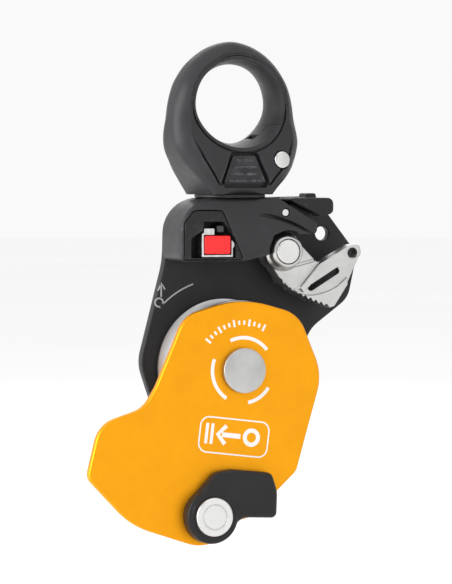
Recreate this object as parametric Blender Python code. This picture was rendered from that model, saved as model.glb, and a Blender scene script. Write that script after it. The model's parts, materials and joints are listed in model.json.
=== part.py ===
"""Progress-capture rope pulley with a gated swivel, drawn with its side plate swung open.

Frame: origin on the sheave's axle, at the middle of the flat face of its head at the back. +Z up
to the swivel eye, +Y from the front (the side plate that opens) to the back (the fixed plate),
+X towards the toothed cam. Metres.

Everything is drawn in millimetres, through MM, from the middle of the sheave: an empty there
carries it all. Each moving body hangs on a further empty whose origin is on its joint's axis.
"""

import math

import bmesh
import bpy
from mathutils import Matrix, Vector

MM = 0.001

# Driving dimensions, in millimetres
GROOVE_R = 19.0  # sheave, bottom of the rope groove
RIM_R = 24.5
RIM_HALF = 8.0  # half of the sheave's width
GROOVE_ROUND = 6.9  # radius of the groove's section
PLATE_INNER = 9.3  # from the mid-plane to each side plate
MOBILE_T = 3.0
FIXED_T = 3.5
AXLE_R = 5.0
HEAD_TOP = 60.5
EYE_BOTTOM = 61.6
EYE_HOLE_Z = 93.5
EYE_HOLE_R = (15.8, 13.9)  # across and up
CAM_PIVOT = (19.2, 41.4)
CAM_TURN = 3.0  # degrees that the cam hangs down at rest, from the frame it is drawn in
CATCH_PIVOT = (18.4, 55.2)
LEVER_PIVOT = (13.1, 50.6)  # in the closed side plate's frame
GATE_PIVOT = (15.2, 73.8)  # in the eye's frame
LOWER_EYE_Z = -40.0
LOWER_EYE_R = 7.5

# Rest positions
PLATE_OPEN = 180.0  # degrees from closed
EYE_TURN = 8.0  # degrees about Z from square

# Clearances
PLAY = 0.15  # between round pieces that turn in each other
GAP = 0.3  # between faces at rest

BALLS = 9
BALL_R = 1.9
BALL_TRACK_R = 9.0

MOBILE_FRONT = -PLATE_INNER - MOBILE_T
FIXED_BACK = PLATE_INNER + FIXED_T
AXLE_BACK = FIXED_BACK + 2.2  # the axle head's flat face, where the frame's origin is


# ---------------------------------------------------------------- scene and materials


def clear_scene():
    for obj in list(bpy.data.objects):
        bpy.data.objects.remove(obj, do_unlink=True)


def material(name, colour, roughness, metallic):
    made = bpy.data.materials.new(name)
    made.use_nodes = True
    shader = made.node_tree.nodes["Principled BSDF"]
    shader.inputs["Base Color"].default_value = (*colour, 1.0)
    shader.inputs["Roughness"].default_value = roughness
    shader.inputs["Metallic"].default_value = metallic
    return made


def make_materials():
    return {
        "black_aluminium": material("black_aluminium", (0.035, 0.035, 0.037), 0.45, 0.6),
        "black_nylon": material("black_nylon", (0.02, 0.02, 0.022), 0.55, 0.0),
        "orange_anodised": material("orange_anodised", (0.95, 0.43, 0.01), 0.38, 0.5),
        "stainless": material("stainless", (0.72, 0.72, 0.70), 0.3, 1.0),
        "cast_stainless": material("cast_stainless", (0.66, 0.66, 0.65), 0.4, 1.0),
        "sheave_aluminium": material("sheave_aluminium", (0.6, 0.6, 0.62), 0.35, 1.0),
        "red_plastic": material("red_plastic", (0.85, 0.03, 0.03), 0.4, 0.0),
        "spring_steel": material("spring_steel", (0.4, 0.4, 0.42), 0.3, 1.0),
        "seal_rubber": material("seal_rubber", (0.03, 0.03, 0.03), 0.7, 0.0),
    }


def make_middle():
    """The empty at the middle of the sheave that carries everything."""
    made = bpy.data.objects.new("middle", None)
    bpy.context.scene.collection.objects.link(made)
    made.location = Vector((0, -AXLE_BACK, 0)) * MM


def pivot(name, x, z, parent=None, turn_y=0.0, turn_z=0.0):
    """An empty on a joint's axis."""
    made = bpy.data.objects.new(name, None)
    bpy.context.scene.collection.objects.link(made)
    made.location = Vector((x, 0, z)) * MM
    made.rotation_euler = (0, math.radians(turn_y), math.radians(turn_z))
    made.parent = parent or bpy.data.objects["middle"]
    return made


def finish_object(name, mesh_data, parent, look):
    """Turns a bmesh into a named object, faces out, shaded smooth where it is round."""
    bmesh.ops.recalc_face_normals(mesh_data, faces=mesh_data.faces)
    mesh = bpy.data.meshes.new(name)
    mesh_data.to_mesh(mesh)
    mesh_data.free()
    mesh.shade_smooth()
    mesh.set_sharp_from_angle(angle=math.radians(35))
    obj = bpy.data.objects.new(name, mesh)
    bpy.context.scene.collection.objects.link(obj)
    obj.parent = parent or bpy.data.objects["middle"]
    if look is not None:
        mesh.materials.append(look)
    return obj


# ---------------------------------------------------------------- shapes


def sharp(points):
    """Points as the corners of an outline that stay sharp."""
    return [(p[0], p[1], 0) for p in points]


def fillet(corners, step=22.0):
    """A closed outline from corners (x, z, radius), each corner rounded by an arc of its radius."""
    points = []
    for i, (x, z, radius) in enumerate(corners):
        corner = Vector((x, z))
        if radius == 0:
            points.append(corner)
            continue
        before = (Vector(corners[i - 1][:2]) - corner).normalized()
        after = (Vector(corners[(i + 1) % len(corners)][:2]) - corner).normalized()
        half = before.angle(after) / 2
        centre = corner + (before + after).normalized() * (radius / math.sin(half))
        start = corner + before * (radius / math.tan(half)) - centre
        end = corner + after * (radius / math.tan(half)) - centre
        turn = math.atan2(start.x * end.y - start.y * end.x, start.dot(end))
        count = max(1, math.ceil(abs(math.degrees(turn)) / step))
        for k in range(count + 1):
            points.append(centre + Matrix.Rotation(turn * k / count, 2) @ start)
    return points


def arc(cx, cz, radius, start, end, count):
    """Points on an arc, angles in degrees from +X towards +Z."""
    angles = (math.radians(start + (end - start) * k / count) for k in range(count + 1))
    return [Vector((cx + radius * math.cos(a), cz + radius * math.sin(a))) for a in angles]


def prism(name, outline, y0, y1, parent=None, look=None):
    """The outline in X and Z, extruded from y0 to y1."""
    mesh_data = bmesh.new()
    rings = [
        [mesh_data.verts.new(Vector((p[0], y, p[1])) * MM) for p in outline] for y in (y0, y1)
    ]
    count = len(outline)
    mesh_data.faces.new(rings[0])
    mesh_data.faces.new(reversed(rings[1]))
    for i in range(count):
        j = (i + 1) % count
        mesh_data.faces.new((rings[0][i], rings[1][i], rings[1][j], rings[0][j]))
    return finish_object(name, mesh_data, parent, look)


def lathe(name, profile, parent=None, look=None, centre=(0, 0, 0), axis=(0, 1, 0), sides=48,
          closed=False):
    """The profile (radius, distance along axis) turned round an axis through centre. An open
    profile starts and ends on the axis. A closed one makes a ring."""
    mesh_data = bmesh.new()
    turn = Vector((0, 0, 1)).rotation_difference(Vector(axis))
    rings = []
    for radius, along in profile:
        if radius == 0:
            spots = [Vector((0, 0, along))]
        else:
            angles = [2 * math.pi * k / sides for k in range(sides)]
            spots = [Vector((radius * math.cos(a), radius * math.sin(a), along)) for a in angles]
        rings.append([mesh_data.verts.new((Vector(centre) + turn @ p) * MM) for p in spots])
    pairs = list(zip(rings, rings[1:]))
    if closed:
        pairs.append((rings[-1], rings[0]))
    for low, high in pairs:
        for k in range(sides):
            n = (k + 1) % sides
            if len(low) == 1:
                mesh_data.faces.new((low[0], high[n], high[k]))
            elif len(high) == 1:
                mesh_data.faces.new((low[k], low[n], high[0]))
            else:
                mesh_data.faces.new((low[k], low[n], high[n], high[k]))
    return finish_object(name, mesh_data, parent, look)


def rod(name, radius, start, end, parent=None, look=None, centre=(0, 0, 0), axis=(0, 1, 0),
        sides=32):
    """A plain cylinder from start to end along the axis."""
    profile = [(0, start), (radius, start), (radius, end), (0, end)]
    return lathe(name, profile, parent, look, centre, axis, sides)


def ring(name, inner, outer, start, end, parent=None, look=None, centre=(0, 0, 0),
         axis=(0, 1, 0), sides=48):
    """A plain ring from start to end along the axis."""
    profile = [(inner, start), (outer, start), (outer, end), (inner, end)]
    return lathe(name, profile, parent, look, centre, axis, sides, closed=True)


def coil(name, radius, wire, start, end, turns, parent, look, centre=(0, 0, 0), axis=(0, 1, 0),
         steps=14, sides=6):
    """A round wire wound round an axis, with flat ends."""
    mesh_data = bmesh.new()
    turn = Vector((0, 0, 1)).rotation_difference(Vector(axis))
    count = max(2, round(turns * steps))
    rings = []
    for i in range(count + 1):
        angle = 2 * math.pi * turns * i / count
        out = Vector((math.cos(angle), math.sin(angle), 0))
        spot = out * radius + Vector((0, 0, start + (end - start) * i / count))
        ring_points = []
        for k in range(sides):
            b = 2 * math.pi * k / sides
            p = spot + (out * math.cos(b) + Vector((0, 0, 1)) * math.sin(b)) * wire
            ring_points.append(mesh_data.verts.new((Vector(centre) + turn @ p) * MM))
        rings.append(ring_points)
    for low, high in zip(rings, rings[1:]):
        for k in range(sides):
            n = (k + 1) % sides
            mesh_data.faces.new((low[k], low[n], high[n], high[k]))
    mesh_data.faces.new(rings[0])
    mesh_data.faces.new(reversed(rings[-1]))
    return finish_object(name, mesh_data, parent, look)


def combine(obj, other, operation):
    """A Boolean with another shape, which becomes a hidden helper."""
    other.hide_render = True
    other.display_type = "WIRE"
    made = obj.modifiers.new(other.name, "BOOLEAN")
    made.operation = operation
    made.object = other
    made.solver = "EXACT"
    return obj


def cut(obj, *cutters):
    for cutter in cutters:
        combine(obj, cutter, "DIFFERENCE")
    return obj


def join(obj, *others):
    for other in others:
        combine(obj, other, "UNION")
    return obj


# ---------------------------------------------------------------- swivel eye and gate

PARTING = Vector((6.0, 111.0))  # a point of the cut between eye and gate, in X and Z
PARTING_OUT = Vector((0.963, 0.272)).normalized()  # the way the gate's nose leaves the eye
LUG_R = 12.5  # the eye's cheeks round the gate's rivet
TONGUE_HALF = 2.6
PLUNGER_R = 1.0
RIVET_SEAT = 8.5  # from the mid-plane to the floor of the gate rivet's counterbores


# The eye's reach to the left and to the right, and its half depth, at heights from foot to crown
EYE_REACH = ((EYE_BOTTOM, 12.0, 11.7), (64.0, 14.0, 14.2), (67.0, 16.6, 17.8), (70.0, 19.2, 20.7),
             (73.0, 21.4, 22.8), (76.5, 23.5, 24.4), (80.0, 24.6, 25.3), (84.0, 24.9, 25.1),
             (88.4, 24.5, 24.5), (93.0, 23.8, 23.8), (98.0, 22.4, 22.3), (102.0, 20.7, 20.5),
             (107.0, 17.2, 17.0), (110.6, 13.1, 13.1), (113.1, 9.0, 9.0), (114.7, 4.6, 4.6))
EYE_CROWN = 115.4
EYE_DEPTHS = ((EYE_BOTTOM, 11.2), (70.6, 11.2), (75.0, 10.6), (79.5, 9.5), (84.0, 8.4),
              (90.0, 7.2), (98.0, 7.2), (107.0, 6.6), (EYE_CROWN, 6.0))
EYE_FLARE = 1.5  # how much wider the hole is at its mouths than at its middle


def between(table, z):
    """The value at z in a table of (z, value), straight between its rows."""
    for (z0, v0), (z1, v1) in zip(table, table[1:]):
        if z <= z1:
            return v0 + (v1 - v0) * max(0.0, z - z0) / (z1 - z0)
    return table[-1][1]


def eye_blank(name, parent, look):
    """The forged shape: a band round the hole. Each section runs out from the hole to the
    outline, with rounded edges and a depth that grows towards the foot."""
    right = [Vector((reach, z)) for z, _, reach in EYE_REACH]
    left = [Vector((-reach, z)) for z, reach, _ in reversed(EYE_REACH)]
    foot = [Vector((x, EYE_BOTTOM)) for x in (-6.0, 0.0, 6.0)]
    outline = [*right, Vector((0, EYE_CROWN)), *left, *foot]
    centre = Vector((0, EYE_HOLE_Z))
    mesh_data = bmesh.new()
    rings = []
    for spot in outline:
        reach = (spot - centre).length
        out = (spot - centre) / reach
        hole = 1 / math.hypot(out.x / EYE_HOLE_R[0], out.y / EYE_HOLE_R[1])
        mouth = hole + EYE_FLARE + 0.8
        edge = min(0.5 + (spot.y - EYE_BOTTOM) * 0.26, 4.4, 0.85 * (reach - mouth))

        def half_depth(along):
            return between(EYE_DEPTHS, centre.y + out.y * along)

        side = [(hole, 0.0), (hole + 0.4 * EYE_FLARE, half_depth(mouth) * 0.6),
                (hole + EYE_FLARE, half_depth(mouth) - 0.8), (mouth, half_depth(mouth))]
        middle = (mouth + reach - edge) / 2
        side.append((middle, half_depth(middle)))
        deep = half_depth(reach - edge)
        for turn in (0, 45, 90):
            a = math.radians(turn)
            side.append((reach - edge + edge * math.sin(a), deep - edge + edge * math.cos(a)))
        section = [(r, -y) for r, y in side] + [(r, y) for r, y in reversed(side[1:])]
        rings.append([
            mesh_data.verts.new(Vector((centre.x + out.x * r, y, centre.y + out.y * r)) * MM)
            for r, y in section
        ])
    for ring_a, ring_b in zip(rings, rings[1:] + rings[:1]):
        for k in range(len(ring_a)):
            n = (k + 1) % len(ring_a)
            mesh_data.faces.new((ring_a[k], ring_a[n], ring_b[n], ring_b[k]))
    return finish_object(name, mesh_data, parent, look)


def gate_region(name, clearance, parent):
    """The part of the ring that is gate: beyond the lug's circle and to the right of the cut."""
    along = Vector((-PARTING_OUT.y, PARTING_OUT.x))
    line = PARTING + PARTING_OUT * clearance
    lug = arc(*GATE_PIVOT, LUG_R + clearance, 129.4, 0, 12)
    outline = [line - along * 12, *lug, (32, GATE_PIVOT[1]), (32, 122), line + along * 10]
    return prism(name, outline, -20, 20, parent)


def plunger_rod(name, radius, start, end, parent, look=None):
    direction = (PARTING_OUT.x, 0, PARTING_OUT.y)
    centre = (PARTING.x, 0, PARTING.y)
    return rod(name, radius, start, end, parent, look, centre, direction, sides=20)


def make_swivel(looks):
    swivel = pivot("swivel_axis", 0, 0, turn_z=EYE_TURN)
    rivet_at = (GATE_PIVOT[0], 0, GATE_PIVOT[1])

    eye = eye_blank("swivel_eye", swivel, looks["black_aluminium"])
    cut(eye, gate_region("gate_space", 0.0, swivel))
    slot = [*arc(*GATE_PIVOT, LUG_R + 0.5, 135, -10, 14), *arc(*GATE_PIVOT, 6.0, -60, -215, 12)]
    cut(eye, prism("tongue_slot", slot, -TONGUE_HALF - GAP, TONGUE_HALF + GAP, swivel))
    seat = [(0, -20), (3.4, -20), (3.4, -RIVET_SEAT), (2.1, -RIVET_SEAT), (2.1, RIVET_SEAT),
            (3.4, RIVET_SEAT), (3.4, 20), (0, 20)]
    cut(eye, lathe("rivet_seat", seat, swivel, centre=rivet_at, sides=24))
    cut(eye, rod("stem_bore", 4.8, 50, 74, swivel, axis=(0, 0, 1)))
    cut(eye, plunger_rod("plunger_socket", PLUNGER_R + 0.25, -1.7, 2, swivel))

    rod("swivel_stem", 4.5, 52.0, 73.6, swivel, looks["stainless"], axis=(0, 0, 1))
    nut = rod("swivel_nut", 6.4, 52.5, 57.3, swivel, looks["stainless"], axis=(0, 0, 1), sides=6)
    cut(nut, rod("nut_bore", 4.5 + PLAY, 50, 60, swivel, axis=(0, 0, 1)))
    rivet = [(0, -11.3), (2.6, -11.3), (3.1, -10.8), (3.1, -8.8), (1.9, -8.8), (1.9, 8.8),
             (3.1, 8.8), (3.1, 10.8), (2.6, 11.3), (0, 11.3)]
    lathe("gate_rivet", rivet, swivel, looks["stainless"], centre=rivet_at, sides=24)

    gate_axis = pivot("gate_axis", *GATE_PIVOT, parent=swivel)
    back_to_eye = Matrix.Translation(Vector((-GATE_PIVOT[0], 0, -GATE_PIVOT[1])) * MM)
    gate = eye_blank("gate", gate_axis, looks["black_aluminium"])
    kept = gate_region("gate_kept", GAP, gate_axis)
    tongue = [*arc(*GATE_PIVOT, 17.5, 110, 60, 5), *arc(*GATE_PIVOT, 5.2, 50, -215, 14)]
    join(kept, prism("gate_tongue", tongue, -TONGUE_HALF, TONGUE_HALF, gate_axis))
    combine(gate, kept, "INTERSECT")
    cut(gate, rod("gate_bore", 2.1, -20, 20, gate_axis, centre=rivet_at, sides=24))
    cut(gate, plunger_rod("plunger_bore", PLUNGER_R + PLAY, -2, 3.5, gate_axis))
    plunger_rod("gate_plunger", PLUNGER_R, -1.0, 3.2, gate_axis, looks["stainless"])
    for drawn in gate_axis.children:  # these were drawn in the eye's frame
        drawn.matrix_parent_inverse = back_to_eye


# ---------------------------------------------------------------- fixed frame


def fixed_plate_outline():
    corners = [(-20.5, HEAD_TOP - 0.5, 12.5), (-21.0, 38.0, 30.0), (-30.5, 2.0, 14.0),
               (-23.0, -20.0, 18.0), (-12.5, -31.0, 10.0), (-13.5, -53.0, 12.4),
               (13.5, -53.0, 12.4), (12.5, -31.0, 10.0), (23.0, -20.0, 18.0), (35.0, 13.0, 12.0),
               (50.0, 24.0, 9.0), (53.5, 40.0, 9.0), (37.0, 60.8, 5.0)]
    return fillet(corners)


def make_fixed_plate(looks):
    plate = prism("fixed_side_plate", fixed_plate_outline(), PLATE_INNER, FIXED_BACK, None,
                  looks["black_aluminium"])
    boss = prism("lower_boss", arc(0, LOWER_EYE_Z, 12.2, 0, 350, 35), 3.0, PLATE_INNER + 1)
    join(plate, boss)
    cut(plate, rod("lower_eye", LOWER_EYE_R, 0, 20, centre=(0, 0, LOWER_EYE_Z), sides=40))
    cut(plate, rod("axle_hole", AXLE_R + PLAY, 0, 20))
    cut(plate, rod("cam_pin_hole", 3.0 + PLAY, 0, 20, centre=(CAM_PIVOT[0], 0, CAM_PIVOT[1])))
    cut(plate, rod("cord_hole", 2.5, 0, 20, centre=(39.6, 0, 47.4), sides=24))
    catch_at = (CATCH_PIVOT[0], 0, CATCH_PIVOT[1])
    cut(plate, rod("catch_pin_hole", 1.4 + PLAY, 0, 20, centre=catch_at, sides=20))
    for number, spot in enumerate(SCREWS, 1):
        seat = [(0, 0), (1.7 + PLAY, 0), (1.7 + PLAY, 11.1), (3.5 + PLAY, 12.4), (3.5 + PLAY, 14),
                (0, 14)]
        cut(plate, lathe(f"screw_seat_{number}", seat, centre=(spot[0], 0, spot[1]), sides=24))


SCREWS = ((-13.5, 52.5), (-14.5, 42.5), (7.5, 54.5))  # X and Z of the screws in the back


def make_screws(looks):
    for number, (x, z) in enumerate(SCREWS, 1):
        shape = [(0, 3.0), (1.7, 3.0), (1.7, 11.3), (3.5, 12.6), (1.9, 12.6), (1.9, 11.8),
                 (0, 11.8)]
        lathe(f"back_screw_{number}", shape, None, looks["stainless"], centre=(x, 0, z), sides=24)


PANEL = [(-20.5, 38.9, 0.8), (-20.5, 51.5, 3.5), (-17.0, 56.0, 3.0), (-6.4, 56.0, 1.5),
         (1.6, 38.9, 0.8)]
WINDOW = [(-18.2, 39.4, 0.4), (-18.2, 46.4, 0.8), (-13.6, 49.0, 0.8), (-13.6, 52.2, 0.4),
          (-6.0, 52.2, 0.4), (-1.3, 46.4, 0.6), (-1.3, 39.4, 0.4)]
PANEL_DEPTH = 3.2
SHOULDER_R = 54.8  # round the axle: the step in the head that the release lever passes


def make_head(looks):
    front = -PLATE_INNER + GAP
    back = PLATE_INNER - GAP
    outline = fillet([(-22.0, 38.2, 3.0), (-22.0, HEAD_TOP, 13.0), (15.0, HEAD_TOP, 0.6),
                      (30.5, 51.8, 1.2), (30.5, 47.4, 1.6), (13.6, 47.4, 1.0), (13.6, 40.6, 3.0),
                      (3.0, 38.2, 4.0)])
    head = prism("head_block", outline, front, back, None, looks["black_aluminium"])
    shoulder = arc(0, 0, SHOULDER_R, 84, 48, 12)
    cut(head, prism("shoulder_step", [*shoulder, (45, 42), (45, 70), (8.5, 70)], -12, front + 1.5))
    cut(head, rod("stem_passage", 4.5 + 0.4, 30, 70, axis=(0, 0, 1)))
    cut(head, rod("nut_chamber", 6.9, 30, 58.0, axis=(0, 0, 1), sides=40))
    cam_room = rod("cam_room", 7.6, -12, 12, centre=(CAM_PIVOT[0], 0, CAM_PIVOT[1]), sides=40)
    cut(head, cam_room)
    catch_slot = fillet([(14.6, 46.0, 0), (14.6, 58.5, 3.0), (16.6, 63.0, 0), (40.0, 63.0, 0),
                         (40.0, 46.0, 0)])
    cut(head, prism("catch_slot", catch_slot, -3.2, 3.2))
    cut(head, rod("catch_bore", 1.4 + PLAY, -12, 12, centre=(CATCH_PIVOT[0], 0, CATCH_PIVOT[1]),
                  sides=20))
    pocket = [(-20.75, 38.65, 0.8), (-20.75, 51.6, 3.6), (-17.1, 56.25, 3.1), (-6.2, 56.25, 1.6),
              (1.95, 38.65, 0.8)]
    cut(head, prism("panel_pocket", fillet(pocket), -12, front + PANEL_DEPTH))
    cut(head, prism("latch_pocket", fillet(WINDOW), -12, -1.6))
    for number, (x, z) in enumerate(SCREWS, 1):
        cut(head, rod(f"tapped_hole_{number}", 1.7 + PLAY, 2.4, 12, centre=(x, 0, z), sides=24))

    panel = prism("latch_panel", fillet(PANEL), front, front + PANEL_DEPTH - GAP, None,
                  looks["black_nylon"])
    cut(panel, prism("window", fillet(WINDOW), -12, 0))
    ring("thrust_washer", 5.0, 12.5, HEAD_TOP + GAP, HEAD_TOP + GAP + 0.5, None,
         looks["black_nylon"], axis=(0, 0, 1))


BOLT_AT = (-6.7, 49.6)  # X and Z of the middle of the bolt's nose
FLAG_AT = (-8.0, 44.0)


def make_latch(looks):
    """Behind the window: a red flag in a steel keeper, and a bolt above it. The closed side plate
    presses the flag in, which drives the bolt out behind the release lever's hook."""
    front = -PLATE_INNER + GAP
    bolt_axis = pivot("latch_bolt_axis", *BOLT_AT)
    nose = fillet([(-1.3, -1.2, 0.3), (-1.3, 1.2, 0.3), (1.3, 1.2, 0.3), (1.3, -1.2, 0.3)])
    prism("latch_bolt", nose, front + 1.0, -2.4, bolt_axis, looks["spring_steel"])

    flag_axis = pivot("latch_flag_axis", *FLAG_AT)
    block = fillet([(-4.85, -3.2, 0.7), (-4.85, 3.2, 0.7), (4.85, 3.2, 0.7), (4.85, -3.2, 0.7)])
    prism("latch_flag", block, front + 0.1, front + 2.5, flag_axis, looks["red_plastic"])
    coil("latch_spring", 2.0, 0.3, -4.2, -2.2, 2.5, None, looks["spring_steel"],
         centre=(FLAG_AT[0], 0, FLAG_AT[1]))

    keeper = fillet([(-13.95, 39.7, 0.3), (-13.95, 48.0, 0.3), (-13.2, 48.4, 0.1),
                     (-13.2, 49.8, 0.3), (-9.2, 49.8, 0.3), (-9.2, 47.5, 0.2),
                     (-13.15, 47.5, 0.1), (-13.15, 40.5, 0.2), (-2.8, 40.5, 0.2),
                     (-2.8, 45.8, 0.2), (-1.65, 44.6, 0.2), (-1.65, 43.4, 0.2), (-2.2, 42.8, 0.1),
                     (-2.2, 39.7, 0.2)])
    prism("latch_keeper", keeper, front + 0.4, -4.5, None, looks["cast_stainless"])


# ---------------------------------------------------------------- axle, sheave and bearing


def make_axle(looks):
    shaft = [(0, MOBILE_FRONT - 1.4), (AXLE_R, MOBILE_FRONT - 1.4), (AXLE_R, FIXED_BACK + GAP),
             (8.2, FIXED_BACK + GAP), (8.2, AXLE_BACK - 0.8), (7.2, AXLE_BACK), (0, AXLE_BACK)]
    lathe("axle", shaft, None, looks["stainless"])
    cap = [(0, MOBILE_FRONT - 3.4), (6.4, MOBILE_FRONT - 3.1), (7.9, MOBILE_FRONT - 2.2),
           (7.9, MOBILE_FRONT - GAP), (AXLE_R + PLAY, MOBILE_FRONT - GAP),
           (AXLE_R + PLAY, MOBILE_FRONT - 1.7), (0, MOBILE_FRONT - 1.7)]
    lathe("axle_cap", cap, None, looks["stainless"])
    for name, side in (("spacer_front", -1), ("spacer_back", 1)):
        ring(name, AXLE_R + PLAY, 7.6, side * 4.3, side * (PLATE_INNER - GAP), None,
             looks["stainless"], sides=36)


def make_sheave(looks):
    sheave = pivot("sheave_axis", 0, 0)
    top = math.degrees(math.acos((GROOVE_R + GROOVE_ROUND - RIM_R) / GROOVE_ROUND))
    groove = []
    for p in arc(GROOVE_R + GROOVE_ROUND, 0, GROOVE_ROUND, 180 - top, 180 + top, 14):
        groove.append((p[0], p[1]))
    wheel = [(13.2, -5.0), (19.0, -5.0), (20.5, -RIM_HALF), (RIM_R, -RIM_HALF), *reversed(groove),
             (RIM_R, RIM_HALF), (20.5, RIM_HALF), (19.0, 5.0), (13.2, 5.0)]
    lathe("sheave", wheel, sheave, looks["sheave_aluminium"], sides=56, closed=True)

    track = BALL_R + 0.12
    outer = [(13.0, -4.0), (13.0, 4.0), (10.2, 4.0), *track_arc(10.2, track, 1),
             (10.2, -4.0)]
    lathe("bearing_outer_race", outer, sheave, looks["stainless"], closed=True)
    inner = [(AXLE_R + PLAY, -4.0), (7.8, -4.0), *track_arc(7.8, track, -1), (7.8, 4.0),
             (AXLE_R + PLAY, 4.0)]
    lathe("bearing_inner_race", inner, None, looks["stainless"], closed=True)
    for name, side in (("seal_front", -1), ("seal_back", 1)):
        ring(name, 8.0, 10.05, side * 3.1, side * 3.7, sheave, looks["seal_rubber"], sides=36)

    cage_axis = pivot("cage_axis", 0, 0)
    cage = ring("bearing_cage", 8.5, 9.5, -2.7, 2.7, cage_axis, looks["black_nylon"], sides=54)
    for number in range(1, BALLS + 1):
        angle = 2 * math.pi * number / BALLS
        spot = (BALL_TRACK_R * math.sin(angle), 0, BALL_TRACK_R * math.cos(angle))
        out = (math.sin(angle), 0, math.cos(angle))
        cut(cage, rod(f"ball_pocket_{number}", BALL_R + 0.2, -4, 4, cage_axis, None, spot, out,
                      sides=16))
        half = [(BALL_R * math.sin(math.pi * k / 8), -BALL_R * math.cos(math.pi * k / 8))
                for k in range(1, 8)]
        lathe(f"ball_{number}", [(0, -BALL_R), *half, (0, BALL_R)], cage_axis,
              looks["stainless"], centre=spot, sides=12)


def track_arc(shoulder, radius, side):
    """The ball track's arc in a race whose shoulder has this radius, from back to front for the
    outer race (side 1) and from front to back for the inner one (side -1)."""
    reach = math.degrees(math.acos(side * (shoulder - BALL_TRACK_R) / radius))
    spots = arc(0, 0, radius, reach, -reach, 8)
    return [(BALL_TRACK_R + side * p[0], side * p[1]) for p in spots]


# ---------------------------------------------------------------- side plate and release lever


def mobile_outline():
    """The closed side plate, with the step at its top left that leaves room for the latch."""
    corners = [(0.0, -25.6, 36.0), (21.5, -19.5, 11.0), (32.2, 5.0, 12.0), (36.8, 12.4, 10.0),
               (53.2, 17.6, 11.0), (57.8, 36.2, 4.5), (41.4, 53.3, 30.0), (17.5, 61.3, 14.0),
               (9.0, 60.4, 2.0), (5.0, 53.6, 2.0), (-4.9, 51.4, 1.0), (-4.9, 47.2, 0.8),
               (-9.6, 46.2, 1.0), (-20.6, 36.0, 5.0), (-30.5, 2.0, 18.0), (-21.5, -19.5, 12.0)]
    return fillet(corners)


def make_side_plate(looks):
    swing = pivot("side_plate_axis", 0, 0, turn_y=PLATE_OPEN)
    plate = prism("mobile_side_plate", mobile_outline(), MOBILE_FRONT, -PLATE_INNER, swing,
                  looks["orange_anodised"])
    cut(plate, rod("plate_axle_hole", 6.4 + PLAY, -20, 0, swing))
    ring("plate_bush", AXLE_R + PLAY, 6.4, MOBILE_FRONT, -PLATE_INNER, swing,
         looks["black_nylon"])
    rivet_at = (LEVER_PIVOT[0], 0, LEVER_PIVOT[1])
    cut(plate, rod("rivet_hole", 3.0 + PLAY, -20, 0, swing, centre=rivet_at))
    rivet = [(0, -19.2), (6.2, -19.2), (6.8, -18.7), (6.8, -17.6), (3.0, -17.6), (3.0, -9.6),
             (0, -9.6)]
    lathe("lever_rivet", rivet, swing, looks["stainless"], centre=rivet_at)

    turn = pivot("lever_axis", *LEVER_PIVOT, parent=swing)
    lever_back = MOBILE_FRONT - GAP
    outline = fillet([*sharp(arc(0, 0, 9.6, 128, -42, 14)), (-1.6, -15.4, 5.0),
                      (-8.0, -16.2, 12.0), (-22.6, -14.6, 2.4), (-24.8, -8.0, 8.0),
                      (-24.5, 1.4, 1.8), (-11.2, 0.8, 5.0)])
    lever = prism("release_lever", outline, -17.3, lever_back, turn, looks["black_nylon"])
    hook = fillet([(-24.2, -3.4, 0.4), (-24.2, 0.9, 0.8), (-21.6, 0.6, 0.4), (-21.6, -3.4, 0.4)])
    join(lever, prism("lever_hook", hook, -14.0, -9.6, turn))
    cut(lever, rod("lever_bore", 3.0 + PLAY, -20, 0, turn, sides=32))
    cut(lever, rod("spring_pocket", 6.2, -15.4, 0, turn, sides=32))
    coil("lever_spring", 4.6, 0.45, -14.7, -13.3, 1.6, swing, looks["spring_steel"],
         centre=rivet_at, steps=18)


# ---------------------------------------------------------------- cam and its hold-open catch

CAM_HALF = 4.7
CAM_TEETH = 10
TOOTH_DEPTH = 1.1


def cam_face():
    """The toothed face: a shallow curve under the pivot, with saw teeth that lean back."""
    first, last = Vector((-0.8, -10.2)), Vector((19.2, -18.8))
    along = (last - first) / CAM_TEETH
    out = Vector((along.y, -along.x)).normalized()
    points = []
    for k in range(CAM_TEETH):
        for share, lift in ((0.0, 0.0), (0.8, TOOTH_DEPTH)):
            t = (k + share) / CAM_TEETH
            bulge = 4 * 1.1 * t * (1 - t)
            points.append(first + along * (k + share) + out * (bulge - TOOTH_DEPTH / 2 + lift))
    return points


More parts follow.
